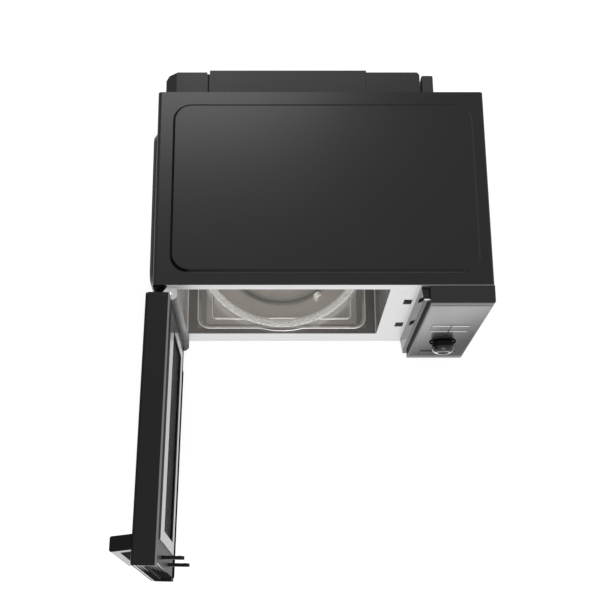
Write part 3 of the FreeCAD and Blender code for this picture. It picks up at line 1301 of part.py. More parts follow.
def make_control_housing():
    """Moulded body of the control panel, open at the back, with a ledge for the fascia."""
    low = BASE_Z - PANEL_DROP
    block = box(PANEL_L, RIGHT_X, -PANEL_PROUD, 0, low, TOP_Z)
    block = round_edges(block, PANEL_CORNER_R, lambda edge: is_upright(edge)
                        and edge.CenterOfMass.x > RIGHT_X - NEAR and edge.CenterOfMass.y < NEAR - PANEL_PROUD)
    block = round_edges(block, PANEL_EDGE_R, lambda edge: edge.CenterOfMass.z > TOP_Z - NEAR
                        and edge.CenterOfMass.y < -NEAR and edge.CenterOfMass.x > PANEL_L + NEAR)
    hollow = box(PANEL_L + PANEL_WALL, BAY_R - PANEL_WALL, FASCIA_BACK + PANEL_WALL, OVER,
                 low + PANEL_WALL, TOP_Z - PANEL_WALL)
    f0 = BASE_Z + FASCIA_BOTTOM
    f1 = TOP_Z - FASCIA_TOP
    seat = box(FASCIA_L, FASCIA_R, -PANEL_PROUD - OVER, FASCIA_BACK, f0, f1)
    window = box(FASCIA_L + FASCIA_LEDGE, FASCIA_R - FASCIA_LEDGE, FASCIA_BACK - OVER, 0,
                 f0 + FASCIA_LEDGE, f1 - FASCIA_LEDGE)
    posts = []
    for x in (PANEL_L + PANEL_WALL, BAY_R - PANEL_WALL - POST_W):
        for z in (BASE_Z + POST_INSET, TOP_Z - POST_INSET):
            posts.append(box(x, x + POST_W, FASCIA_BACK + PANEL_WALL / 2, BOARD_Y,
                             z - POST_H / 2, z + POST_H / 2))
    return block.cut([hollow, seat, window]).fuse(posts)


def key_places():
    """Name, left, right, bottom and top of each key's opening in the fascia."""
    split = KEY_RIB / 2
    sides = (("left", FASCIA_X - split - KEY_W, FASCIA_X - split),
             ("right", FASCIA_X + split, FASCIA_X + split + KEY_W))
    rows = (("upper", UPPER_KEY_Z, UPPER_KEY_H), ("lower", LOWER_KEY_Z, LOWER_KEY_H))
    return [(f"{level}_{side}_key", x0, x1, BASE_Z + middle - tall / 2, BASE_Z + middle + tall / 2)
            for level, middle, tall in rows for side, x0, x1 in sides]


def display_box(y0, y1, gap):
    """Block behind or in the display opening of the fascia."""
    top = TOP_Z - DISPLAY_FROM_TOP
    return box(FASCIA_L + DISPLAY_SIDE + gap, FASCIA_R - DISPLAY_SIDE - gap, y0, y1,
               top - DISPLAY_H + gap, top - gap)


def make_control_fascia():
    """Front plate of the control panel, with openings for the display, the keys and the knob's shaft."""
    front = -PANEL_PROUD - OVER
    back = FASCIA_BACK + OVER
    plate = box(FASCIA_L + PANEL_FIT, FASCIA_R - PANEL_FIT, -PANEL_PROUD, FASCIA_BACK,
                BASE_Z + FASCIA_BOTTOM + PANEL_FIT, TOP_Z - FASCIA_TOP - PANEL_FIT)
    z = BASE_Z + KNOB_Z
    cuts = [rod(KNOB_SHAFT_R + SHAFT_HOLE_GAP, V(FASCIA_X, front, z), V(FASCIA_X, back, z)),
            display_box(front, back, 0)]
    cuts += [box(x0, x1, front, back, z0, z1) for _, x0, x1, z0, z1 in key_places()]
    return plate.cut(cuts)


def make_display_window():
    """Clear lens of the display, flush in the fascia."""
    return display_box(-PANEL_PROUD, FASCIA_BACK, 0)


def make_key(x0, x1, z0, z1):
    """One press key: a cap through the fascia, lips behind it and a stem towards its switch."""
    front = -PANEL_PROUD - KEY_PROUD
    back = FASCIA_BACK + KEY_LIP_T
    cap = box(x0 + KEY_GAP, x1 - KEY_GAP, front, back, z0 + KEY_GAP, z1 - KEY_GAP)
    cap = round_edges(cap, KEY_EDGE_R, lambda edge: edge.CenterOfMass.y < front + NEAR)
    lips = box(x0 + KEY_GAP, x1 - KEY_GAP, FASCIA_BACK + SEAT_GAP, back, z0 - KEY_LIP, z1 + KEY_LIP)
    x = (x0 + x1) / 2
    z = (z0 + z1) / 2
    stem_end = BOARD_Y - SWITCH_H - KEY_TRAVEL - KEY_STEM_GAP
    return cap.fuse([lips, rod(KEY_STEM_R, V(x, FASCIA_BACK, z), V(x, stem_end, z))])


def on_board(x, z, size, tall):
    """Square block on the front of the circuit board."""
    return box(x - size / 2, x + size / 2, BOARD_Y - tall, BOARD_Y, z - size / 2, z + size / 2)


def make_control_board():
    """Circuit board with its display module, rotary encoder and key switches, as a group."""
    board = box(PANEL_L + PANEL_WALL + BOARD_SIDE, BAY_R - PANEL_WALL - BOARD_SIDE, BOARD_Y, BOARD_Y + BOARD_T,
                BASE_Z + BOARD_END, TOP_Z - BOARD_END)
    display = display_box(FASCIA_BACK + OVER, BOARD_Y, DISPLAY_MODULE_INSET)
    z = BASE_Z + KNOB_Z
    encoder = on_board(FASCIA_X, z, ENCODER_SIZE, ENCODER_H)
    bore = rod(KNOB_SHAFT_R + RUNNING_FIT, V(FASCIA_X, BOARD_Y - ENCODER_H - OVER, z),
               V(FASCIA_X, BOARD_Y - OVER, z))
    switches = [on_board((x0 + x1) / 2, (z0 + z1) / 2, SWITCH_SIZE, SWITCH_H)
                for _, x0, x1, z0, z1 in key_places()]
    return Part.makeCompound([board, display, encoder.cut(bore)] + switches)


def make_knob_bezel():
    """Ring on the fascia round the foot of the knob."""
    profile = [(BEZEL_HOLE_R, 0), (BEZEL_R, 0), (BEZEL_R - BEZEL_BEVEL, BEZEL_T), (BEZEL_HOLE_R, BEZEL_T)]
    return spun(profile, V(FASCIA_X, -PANEL_PROUD, BASE_Z + KNOB_Z), V(0, -1, 0))


def make_knob():
    """Dial knob with its shaft, which runs in the encoder."""
    face = KNOB_SHOULDER + KNOB_RIM_T - KNOB_EDGE
    profile = [(0, -SHAFT_END), (KNOB_SHAFT_R, -SHAFT_END), (KNOB_SHAFT_R, KNOB_GAP),
               (KNOB_R - KNOB_EDGE, KNOB_GAP), (KNOB_R, KNOB_GAP + KNOB_FOOT), (KNOB_R, KNOB_SHOULDER),
               (KNOB_FACE_R, KNOB_SHOULDER), (KNOB_FACE_R, face), (0, face - KNOB_DISH)]
    return spun(profile, V(FASCIA_X, -PANEL_PROUD, BASE_Z + KNOB_Z), V(0, -1, 0))


def make_knob_rim():
    """Bright round nose on the front of the knob, open for its face."""
    front = KNOB_SHOULDER + KNOB_RIM_T
    profile = [(KNOB_FACE_R, KNOB_SHOULDER), (KNOB_RIM_R, KNOB_SHOULDER), (KNOB_RIM_R, front), (KNOB_FACE_R, front)]
    ring = spun(profile, V(FASCIA_X, -PANEL_PROUD, BASE_Z + KNOB_Z), V(0, -1, 0))
    return round_edges(ring, KNOB_NOSE_R, lambda edge: edge.BoundBox.YMax < NEAR - PANEL_PROUD - front
                       and edge.BoundBox.XLength > KNOB_FACE_R + KNOB_RIM_R)


def hinge_bracket(z, up):
    """Steel lug from the front plate to the door's pivot, with a tab behind the plate."""
    x0 = LEFT_X + LUG_LEFT
    x1 = LEFT_X + LUG_RIGHT
    low = z - LUG_T / 2
    outline = [V(x0, PLATE_T, low), V(x1, PLATE_T, low), V(x1, LUG_CHAMFER - LUG_FRONT, low),
               V(x1 - LUG_CHAMFER, -LUG_FRONT, low), V(PIVOT_X, PIVOT_Y - LUG_R, low),
               V(PIVOT_X, PIVOT_Y + LUG_R, low), V(x0, 0, low)]
    plate = prism(outline, V(0, 0, LUG_T))
    eye = rod(LUG_R, V(PIVOT_X, PIVOT_Y, low), V(PIVOT_X, PIVOT_Y, low + LUG_T))
    hole = rod(PIN_R, V(PIVOT_X, PIVOT_Y, low - OVER), V(PIVOT_X, PIVOT_Y, low + LUG_T + OVER))
    ends = sorted((z + up * LUG_T / 2, z - up * LUG_TAB_H))
    tab = box(x0, x1, PLATE_T, PLATE_T + LUG_T, ends[0], ends[1])
    return plate.fuse([eye, tab]).cut(hole)


def make_hinge_pin(z, up):
    """Pivot pin pressed in the lug and reaching into the door, towards its middle."""
    head = V(PIVOT_X, PIVOT_Y, z + up * LUG_T / 2)
    return rod(PIN_R, head, head - V(0, 0, up * (LUG_T + PIN_LENGTH)))


def hinge_bush(z, up):
    """Plain bush in the door that turns on the hinge pin."""
    near = z - up * (LUG_T / 2 + LUG_GAP)
    far = near - up * BUSH_LENGTH
    outer = rod(BUSH_R, V(PIVOT_X, PIVOT_Y, near), V(PIVOT_X, PIVOT_Y, far))
    return outer.cut(rod(PIN_R + RUNNING_FIT, V(PIVOT_X, PIVOT_Y, near), V(PIVOT_X, PIVOT_Y, far)))


def hinge_sides():
    """Height of each lug and whether it is at the top (1) or the bottom (-1)."""
    return ((UPPER_LUG_Z, 1), (LOWER_LUG_Z, -1))


def make_hinge_bushes():
    """The two hinge bushes, as a group."""
    return Part.makeCompound([hinge_bush(z, up) for z, up in hinge_sides()])


def hinge_boss(z, up):
    """Solid corner of the door frame that holds one bush."""
    near = z - up * (LUG_T / 2 + LUG_GAP)
    ends = sorted((near, near - up * (PIN_LENGTH + BOSS_END)))
    back = DOOR_IN - BOSS_INSET
    return box(DOOR_L, DOOR_L + BOSS_SIZE, back - BOSS_DEPTH, back, ends[0], ends[1])


def hinge_pocket(z):
    """Room in the door's corner for one lug as the door swings."""
    reach = math.hypot(LEFT_X + LUG_RIGHT - PIVOT_X, PIVOT_FROM_PLATE) + LUG_GAP
    half = LUG_T / 2 + LUG_GAP
    return box(DOOR_L - OVER, PIVOT_X + reach, PIVOT_Y - LUG_R - LUG_GAP, 0, z - half, z + half)


def latch_ribs():
    """Ribs in the door that guide the latch bar, stop it and hold its spring."""
    inner = DOOR_IN - DOOR_WALL + RIB_LAP
    deep = inner - RIB_LAP - RIB_DEPTH
    side = HOOK_T / 2 + GUIDE_GAP
    left = HOOK_X - side - RIB_T
    wall = REBATE_X - DOOR_WALL + RIB_LAP
    low = BASE_Z + RIB_LOW
    high = BASE_Z + RIB_HIGH
    stop = LATCH_LOW - SEAT_GAP
    seat = LATCH_HIGH + SPRING_LENGTH
    return [box(left, HOOK_X - side, deep, inner, low, high), box(HOOK_X + side, wall, deep, inner, low, high),
            box(left, wall, deep, inner, stop - RIB_T, stop), box(left, wall, deep, inner, seat, seat + RIB_T)]


def make_door_frame():
    """Moulded door body: a hollow frame with a window, hinge corners, a rebate and latch guides."""
    block = box(DOOR_L, DOOR_R, DOOR_CORE, DOOR_IN, DOOR_BOTTOM, DOOR_TOP)
    block = round_edges(block, DOOR_CORNER_R, lambda edge: is_upright(edge)
                        and edge.CenterOfMass.x < DOOR_L + NEAR and edge.CenterOfMass.y > DOOR_IN - NEAR)
    well = box(DOOR_L + DOOR_WALL, REBATE_X - DOOR_WALL, DOOR_CORE - OVER, DOOR_IN - DOOR_WALL,
               DOOR_BOTTOM + DOOR_WALL, DOOR_TOP - DOOR_WALL)
    window = box(CHOKE_L, CHOKE_R, DOOR_IN - DOOR_WALL - OVER, DOOR_IN + OVER, CHOKE_BOTTOM, CHOKE_TOP)
    rebate = box(REBATE_X, DOOR_R + OVER, REBATE_Y, DOOR_IN + OVER,
                 DOOR_BOTTOM + REBATE_END, DOOR_TOP - REBATE_END)
    shell = block.cut([well, window, rebate])
    shell = shell.fuse(latch_ribs() + [hinge_boss(z, up) for z, up in hinge_sides()])
    cuts = [hinge_pocket(z) for z, _ in hinge_sides()]
    for z, up in hinge_sides():
        pin = V(PIVOT_X, PIVOT_Y, z)
        bush_end = up * (LUG_T / 2 + LUG_GAP + BUSH_LENGTH)
        pin_end = up * (LUG_T / 2 + PIN_LENGTH + PIN_END_GAP)
        cuts.append(rod(BUSH_R, pin, pin - V(0, 0, bush_end)))
        cuts.append(rod(PIN_R + PIN_CLEARANCE, pin, pin - V(0, 0, pin_end)))
    side = HOOK_T / 2 + GUIDE_GAP
    for z in (UPPER_HOOK_Z, LOWER_HOOK_Z):
        cuts.append(box(HOOK_X - side, HOOK_X + side, DOOR_IN - DOOR_WALL - OVER, DOOR_IN + OVER,
                        BASE_Z + z - GUIDE_GAP, BASE_Z + z + HOOK_H + HOOK_TRAVEL + GUIDE_GAP))
    return shell.cut(cuts)


def make_door_outer_panel():
    """Thick glass front of the door, with softened edges."""
    slab = rounded_slab(on_front(DOOR_OUT), DOOR_L, DOOR_R, DOOR_BOTTOM, DOOR_TOP, DOOR_CORNER_R,
                        V(0, DOOR_GLASS_T, 0))
    return round_edges(slab, DOOR_GLASS_EDGE_R, lambda edge: edge.BoundBox.YMax < DOOR_OUT + NEAR)


def make_door_inner_plate():
    """Steel plate behind the window, perforated so that light passes and microwaves don't."""
    back = DOOR_IN - DOOR_WALL
    front = back - SCREEN_T
    plate = box(CHOKE_L - SCREEN_LAP, CHOKE_R + SCREEN_LAP, front, back,
                CHOKE_BOTTOM - SCREEN_LAP, CHOKE_TOP + SCREEN_LAP)
    holes = []
    for across in row(int((WINDOW_R - WINDOW_L) / SCREEN_PITCH), SCREEN_PITCH):
        for up in row(int((WINDOW_TOP - WINDOW_BOTTOM) / SCREEN_PITCH), SCREEN_PITCH):
            x = (WINDOW_L + WINDOW_R) / 2 + across
            z = (WINDOW_BOTTOM + WINDOW_TOP) / 2 + up
            holes.append(rod(SCREEN_HOLE_R, V(x, front - OVER, z), V(x, back + OVER, z)))
    return plate.cut(holes)


def make_door_choke_cover():
    """Moulded frame round the window, which hides the microwave choke."""
    back = DOOR_IN - DOOR_WALL
    outer = box(CHOKE_L, CHOKE_R, back, CHOKE_Y, CHOKE_BOTTOM, CHOKE_TOP)
    outer = round_edges(outer, CHOKE_EDGE_R, lambda edge: edge.CenterOfMass.y > CHOKE_Y - NEAR)
    return outer.cut(box(WINDOW_L, WINDOW_R, back - OVER, CHOKE_Y + OVER, WINDOW_BOTTOM, WINDOW_TOP))


def make_door_window_pane():
    """Clear inner pane, set a little back in the choke cover."""
    y1 = CHOKE_Y - PANE_DROP
    return box(WINDOW_L, WINDOW_R, y1 - PANE_T, y1, WINDOW_BOTTOM, WINDOW_TOP)


def handle_block(z0, z1):
    """Block of the door handle, which leans towards the door's free end, with a rounded front."""
    right = DOOR_R - HANDLE_FROM_EDGE
    left = right - HANDLE_W
    front = DOOR_OUT - HANDLE_STAND
    outline = [V(left, front, z0), V(right, front, z0),
               V(right - HANDLE_LEAN, DOOR_OUT, z0), V(left - HANDLE_LEAN, DOOR_OUT, z0)]
    block = prism(outline, V(0, 0, z1 - z0))
    return round_edges(block, HANDLE_R, lambda edge: is_upright(edge) and edge.BoundBox.YMax < front + NEAR)


def make_door_handle():
    """Upright metal handle with two arms to the door and a finger gap behind its bar."""
    z0 = BASE_Z + HANDLE_BOTTOM + HANDLE_CAP_T
    z1 = DOOR_TOP - HANDLE_CAP_T
    gap = box(DOOR_L, DOOR_R, DOOR_OUT - HANDLE_STAND + HANDLE_BAR_T, DOOR_OUT + OVER,
              z0 + HANDLE_ARM_H, z1 - HANDLE_ARM_H)
    return handle_block(z0, z1).cut(gap)


def make_handle_caps():
    """Dark end caps on the handle's two ends, as a group."""
    low = BASE_Z + HANDLE_BOTTOM
    high = DOOR_TOP - HANDLE_CAP_T
    return Part.makeCompound([handle_block(z0, z0 + HANDLE_CAP_T) for z0 in (low, high)])


def make_latch_hooks():
    """Sliding latch bar inside the door with two hooks that reach through its inner face."""
    x0 = HOOK_X - HOOK_T / 2
    bar = box(x0, x0 + HOOK_T, LATCH_Y - LATCH_BAR_D, LATCH_Y, LATCH_LOW, LATCH_HIGH)
    tip = DOOR_IN + HOOK_REACH
    root = LATCH_Y - HOOK_ROOT
    barb = tip - HOOK_BARB
    neck = HOOK_H - HOOK_BARB_H
    hooks = []
    for z in (UPPER_HOOK_Z, LOWER_HOOK_Z):
        outline = [(root, 0), (tip - HOOK_NOSE, 0), (tip, HOOK_NOSE_LOW), (tip, HOOK_NOSE_HIGH),
                   (tip - HOOK_BARB_SLOPE, HOOK_H), (barb, HOOK_H), (barb, neck), (root, neck)]
        hooks.append(prism([V(x0, y, BASE_Z + z + up) for y, up in outline], V(HOOK_T, 0, 0)))
    return bar.fuse(hooks)


def make_latch_spring():
    """Return spring above the latch bar, as a plain sleeve."""
    low = V(HOOK_X, LATCH_Y - LATCH_BAR_D / 2, LATCH_HIGH)
    high = low + V(0, 0, SPRING_LENGTH)
    return rod(SPRING_R, low, high).cut(rod(SPRING_R - SPRING_WIRE, low, high))


def swung_open(shape):
    """The same piece with the door turned from closed to the angle at which it stands open."""
    turned = shape.copy()
    turned.rotate(V(PIVOT_X, PIVOT_Y, 0), V(0, 0, 1), -DOOR_OPEN_DEG)
    return turned


# Cabinet
pieces["outer_cover"] = make_outer_cover()
pieces["base_plate"] = make_base_plate()
pieces["rear_panel"] = make_rear_panel()
pieces["cover_screws"] = make_cover_screws()
pieces["feet"] = make_feet()
pieces["convection_housing"] = make_convection_housing()
pieces["wall_spacer"] = make_wall_spacer()
pieces["cord_gland"] = make_cord_gland()
pieces["front_plate"] = make_front_plate()
pieces["hinge_brackets"] = Part.makeCompound([hinge_bracket(z, up) for z, up in hinge_sides()])
pieces["hinge_pins"] = Part.makeCompound([make_hinge_pin(z, up) for z, up in hinge_sides()])

# Oven cavity
pieces["cavity_shell"] = make_cavity_shell()
pieces["cavity_back"] = make_cavity_back()
pieces["cavity_floor"] = make_cavity_floor()
pieces["waveguide_cover"] = make_waveguide_cover()
pieces["grill_heater"] = make_grill_heater()
pieces["turntable_motor"] = make_turntable_motor()
pieces["turntable_coupler"] = make_turntable_coupler()
pieces["roller_ring"] = make_roller_ring()
for number in range(ROLLER_COUNT):
    pieces[f"roller_{number + 1}"] = make_roller(number)
pieces["glass_turntable"] = make_glass_turntable()

# Convection unit on the back
pieces["fan_chamber"] = make_fan_chamber()
pieces["convection_heater"] = make_convection_heater()
pieces["convection_fan"] = make_convection_fan()
pieces["convection_motor"] = make_convection_motor()

# Electrical compartment
pieces["waveguide"] = make_waveguide()
pieces["magnetron"] = make_magnetron()
pieces["high_voltage_transformer"] = make_high_voltage_transformer()
pieces["high_voltage_capacitor"] = make_high_voltage_capacitor()
pieces["cooling_fan_shroud"] = make_cooling_fan_shroud()
pieces["cooling_fan_motor"] = make_cooling_fan_motor()
pieces["cooling_fan_blade"] = make_cooling_fan_blade()
pieces["oven_lamp"] = make_oven_lamp()
pieces["thermal_cutout"] = make_thermal_cutout()
pieces["interlock_bracket"] = make_interlock_bracket()
pieces["interlock_switches"] = make_interlock_switches()

# Control panel
pieces["control_housing"] = make_control_housing()
pieces["control_side_trim"] = make_control_side_trim()
pieces["control_fascia"] = make_control_fascia()
pieces["display_window"] = make_display_window()
pieces["control_board"] = make_control_board()
pieces["knob_bezel"] = make_knob_bezel()
pieces["knob"] = make_knob()
pieces["knob_rim"] = make_knob_rim()
for name, x0, x1, z0, z1 in key_places():
    pieces[name] = make_key(x0, x1, z0, z1)

# Door
pieces["door_frame"] = swung_open(make_door_frame())
pieces["door_outer_panel"] = swung_open(make_door_outer_panel())
pieces["door_inner_plate"] = swung_open(make_door_inner_plate())
pieces["door_choke_cover"] = swung_open(make_door_choke_cover())
pieces["door_window_pane"] = swung_open(make_door_window_pane())
pieces["door_handle"] = swung_open(make_door_handle())
pieces["handle_caps"] = swung_open(make_handle_caps())
pieces["hinge_bushes"] = swung_open(make_hinge_bushes())
pieces["latch_hooks"] = swung_open(make_latch_hooks())
pieces["latch_spring"] = swung_open(make_latch_spring())

# The origin is the bottom centre of the whole oven as it stands, with the door open
whole = FreeCAD.BoundBox()
for shape in pieces.values():
    whole.add(shape.BoundBox)
to_origin = V(-whole.Center.x, -whole.Center.y, -whole.ZMin)

os.makedirs("parts", exist_ok=True)
for name, shape in pieces.items():
    placed = shape.copy()
    placed.translate(to_origin)
    placed.exportStep(f"parts/{name}.step")
    solids = placed.Solids
    good = all(solid.isValid() for solid in solids)
    print(f"{name}: {len(solids)} solids, {placed.Volume / 1000:.1f} cm3, valid {good}")
print("pieces", len(pieces), "moved by", [round(part, 4) for part in to_origin])
print("overall", [round(part, 2) for part in (whole.XLength, whole.YLength, whole.ZLength)])
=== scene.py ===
import math

import bmesh
import bpy
from mathutils import Matrix, Vector


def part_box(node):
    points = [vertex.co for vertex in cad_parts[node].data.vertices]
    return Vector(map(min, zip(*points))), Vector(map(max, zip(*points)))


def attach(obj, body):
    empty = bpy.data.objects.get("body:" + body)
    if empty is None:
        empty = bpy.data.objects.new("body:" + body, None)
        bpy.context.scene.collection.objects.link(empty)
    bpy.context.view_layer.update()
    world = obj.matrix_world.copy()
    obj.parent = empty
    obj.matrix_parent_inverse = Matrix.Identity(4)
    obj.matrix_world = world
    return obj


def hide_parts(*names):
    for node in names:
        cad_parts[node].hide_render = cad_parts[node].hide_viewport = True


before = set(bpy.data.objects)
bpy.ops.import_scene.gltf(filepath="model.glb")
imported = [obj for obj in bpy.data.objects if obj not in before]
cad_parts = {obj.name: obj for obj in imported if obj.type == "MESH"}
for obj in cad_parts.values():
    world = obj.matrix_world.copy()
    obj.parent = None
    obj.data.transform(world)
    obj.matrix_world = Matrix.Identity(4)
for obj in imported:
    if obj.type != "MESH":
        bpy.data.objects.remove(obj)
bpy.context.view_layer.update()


# Base of the cabinet: a galvanised steel pan with rows of air slots, hung under the cavity.
# The hot-dip zinc shows its frosty spangle. Four tapered rubber feet are pressed into it.
def set_inputs(node, inputs):
    """Sets inputs of a node by name or number: to a value, or by a link from a socket."""
    for key, value in inputs.items():
        if isinstance(value, bpy.types.NodeSocket):
            node.id_data.links.new(value, node.inputs[key])
        else:
            node.inputs[key].default_value = value


def tree_node(tree, kind, inputs=(), **settings):
    """A node with its settings and its inputs."""
    made = tree.nodes.new(kind)
    for key, value in settings.items():
        setattr(made, key, value)
    set_inputs(made, dict(inputs))
    return made


def set_shader(material, **inputs):
    """Sets sockets of a material's shader, each to a value or by a link."""
    shader = material.node_tree.nodes["Principled BSDF"]
    set_inputs(shader, {key.replace("_", " "): value for key, value in inputs.items()})


def new_material(name, **inputs):
    """A material with one Principled shader, and its tree."""
    material = bpy.data.materials.new(name)
    material.use_nodes = True
    set_shader(material, **inputs)
    return material, material.node_tree


def sum_node(kind, inputs, **settings):
    """A node that works on values, in the tree of the first socket among them."""
    tree = next(value.id_data for value in inputs.values() if isinstance(value, bpy.types.NodeSocket))
    return tree_node(tree, kind, inputs, **settings).outputs


def math_node(operation, *values):
    """The result of one sum on values or sockets."""
    return sum_node("ShaderNodeMath", dict(enumerate(values)), operation=operation)[0]


def vector_node(operation, *values):
    """The result of one sum on vectors. A length or a distance comes out as a number."""
    result = "Value" if operation in ("DOT_PRODUCT", "LENGTH", "DISTANCE") else "Vector"
    return sum_node("ShaderNodeVectorMath", dict(enumerate(values)), operation=operation)[result]


def scaled(vector, factor):
    """A vector or a colour times a number."""
    return sum_node("ShaderNodeVectorMath", {0: vector, "Scale": factor}, operation="SCALE")[0]


def noise(spot, scale, detail):
    """Cloudy noise about a half, as a number and as a colour."""
    return sum_node("ShaderNodeTexNoise", {"Vector": spot, "Scale": scale, "Detail": detail})


def own_spot(tree):
    """Where a spot lies, in the piece's own axes."""
    return tree_node(tree, "ShaderNodeTexCoord").outputs["Object"]


def effect_group(name, inputs, outputs):
    """An empty shader group with named sockets, and its two ends."""
    group = bpy.data.node_groups.new(name, "ShaderNodeTree")
    for label, kind, value in inputs:
        socket = group.interface.new_socket(label, in_out="INPUT", socket_type=kind)
        socket.default_value = value
    for label, kind in outputs:
        group.interface.new_socket(label, in_out="OUTPUT", socket_type=kind)
    return group, group.nodes.new("NodeGroupInput").outputs, group.nodes.new("NodeGroupOutput")


SKIN_INPUTS = [("Colour", "NodeSocketColor", (0.5, 0.5, 0.5, 1)), ("Shade", "NodeSocketFloat", 0.1),
               ("Roughness", "NodeSocketFloat", 0.4), ("Shift", "NodeSocketFloat", 0.05)]
SKIN_OUTPUTS = [("Colour", "NodeSocketColor"), ("Roughness", "NodeSocketFloat"), ("Height", "NodeSocketFloat")]
CRYSTAL_BEND = 0.006
RELIEF_UNIT = 1e-4


def end_skin(given, out, swing, height):
    """Shifts a skin's colour and roughness by a swing about zero, and passes its height on."""
    tint = scaled(given["Colour"], math_node("MULTIPLY_ADD", swing, given["Shade"], 1.0))
    uneven = math_node("MULTIPLY_ADD", swing, given["Shift"], given["Roughness"])
    set_inputs(out, {"Colour": tint, "Roughness": uneven, "Height": height})


def make_spangle_group():
    """Zinc spangle: flat crystals a few millimetres across, each with its own shade."""
    inputs = SKIN_INPUTS + [("Scale", "NodeSocketFloat", 120.0)]
    group, given, out = effect_group("zinc_spangle", inputs, SKIN_OUTPUTS)
    spot = own_spot(group)
    moved = vector_node("MULTIPLY_ADD", noise(spot, 60.0, 2.0)["Color"], (CRYSTAL_BEND,) * 3, spot)
    crystal = tree_node(group, "ShaderNodeTexVoronoi", {"Vector": moved, "Scale": given["Scale"]})
    shade = sum_node("ShaderNodeSeparateColor", {0: crystal.outputs["Color"]})[0]
    end_skin(given, out, math_node("SUBTRACT", shade, 0.5), crystal.outputs["Distance"])
    return group


def make_mottle_group():
    """Paint, moulded plastic or rubber: a fine peel over broad cloudy patches."""
    inputs = SKIN_INPUTS + [("Fine Scale", "NodeSocketFloat", 900.0), ("Broad Scale", "NodeSocketFloat", 9.0)]
    group, given, out = effect_group("mottled_skin", inputs, SKIN_OUTPUTS)
    spot = own_spot(group)
    fine = noise(spot, given["Fine Scale"], 3.0)[0]
    both = math_node("ADD", fine, noise(spot, given["Broad Scale"], 5.0)[0])
    end_skin(given, out, math_node("SUBTRACT", both, 1.0), fine)
    return group


zinc_spangle = make_spangle_group()
mottled_skin = make_mottle_group()


def finish(name, effect, colour, roughness, bump, shade=0.12, shift=0.08, pattern=None, **constants):
    """A finish with one of the skins on it, whose pattern sets the skin's own sockets. The relief is in
    tenths of a millimetre, and the constants are set on the shader."""
    material, tree = new_material(name, **constants)
    skin = tree_node(tree, "ShaderNodeGroup", node_tree=effect)
    set_inputs(skin, {"Colour": (*colour, 1), "Shade": shade, "Roughness": roughness, "Shift": shift})
    set_inputs(skin, pattern or {})
    relief = tree_node(tree, "ShaderNodeBump",
                       {"Strength": 1.0, "Distance": bump * RELIEF_UNIT, "Height": skin.outputs["Height"]})
    set_shader(material, Base_Color=skin.outputs["Colour"], Roughness=skin.outputs["Roughness"],
               Normal=relief.outputs[0])
    return material


def coat_nodes(material, *names):
    """Gives one finish to CAD nodes."""
    for name in names:
        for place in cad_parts[name].material_slots:
            place.material = material


galvanised = finish("galvanised", zinc_spangle, (0.56, 0.57, 0.58), roughness=0.38, bump=0.1, shade=0.35, shift=0.2,
                    Metallic=1.0)
coat_nodes(galvanised, "base_plate")
coat_nodes(finish("foot_rubber", mottled_skin, (0.014, 0.014, 0.014), roughness=0.75, bump=0.8,
                  pattern={"Fine Scale": 700.0}), "feet")

# Oven cavity: a bent stainless shell, a perforated back and a pressed floor, spot-welded
# together. The rolled steel keeps a fine grain that runs from side to side. The right wall,
# which carries the microwave port, is painted darker: painted shade, as it faces away from the lamps.
GRAIN_X = {"Stretch": (12.0, 1800.0, 1800.0)}
RIGHT_WALL_PAINTED_SHADE = 0.5
FACING_LEFT = (-1, 0, 0)


def make_grain_group():
    """Rolled or brushed metal: long fine scratches. Stretch is how often they repeat along each axis."""
    inputs = SKIN_INPUTS + [("Stretch", "NodeSocketVector", GRAIN_X["Stretch"])]
    group, given, out = effect_group("rolled_grain", inputs, SKIN_OUTPUTS)
    spot = own_spot(group)
    scratch = noise(vector_node("MULTIPLY", spot, given["Stretch"]), 1.0, 4.0)[0]
    both = math_node("ADD", scratch, noise(spot, 7.0, 4.0)[0])
    end_skin(given, out, math_node("SUBTRACT", both, 1.0), scratch)
    return group


def ramp(value, low, high, at_low=0.0, at_high=1.0, **settings):
    """A value carried from one range to another, and held at both ends."""
    return sum_node("ShaderNodeMapRange", {0: value, 1: low, 2: high, 3: at_low, 4: at_high}, **settings)[0]


def face_mask(tree, direction, start=0.5, end=0.9):
    """1 where the surface faces a direction of the piece's own axes, fading to 0 away from it."""
    normal = tree_node(tree, "ShaderNodeTexCoord").outputs["Normal"]
    return ramp(vector_node("DOT_PRODUCT", normal, direction), start, end)


def base_colour(material):
    """The socket that a finish takes its colour from."""
    return material.node_tree.nodes["Principled BSDF"].inputs["Base Color"].links[0].from_socket


def scale_colour(material, factor):
    """Makes a finish darker or brighter by a factor that changes over the piece."""
    set_shader(material, Base_Color=scaled(base_colour(material), factor))


rolled_grain = make_grain_group()
cavity_steel = finish("cavity_steel", rolled_grain, (0.62, 0.605, 0.59), roughness=0.27, bump=0.05, shade=0.15,
                      pattern=GRAIN_X, Metallic=0.55)
# The right wall's colour is scaled down: painted shade.
on_right_wall = face_mask(cavity_steel.node_tree, FACING_LEFT)
scale_colour(cavity_steel, math_node("MULTIPLY_ADD", on_right_wall, RIGHT_WALL_PAINTED_SHADE - 1.0, 1.0))
coat_nodes(cavity_steel, "cavity_shell", "cavity_back")

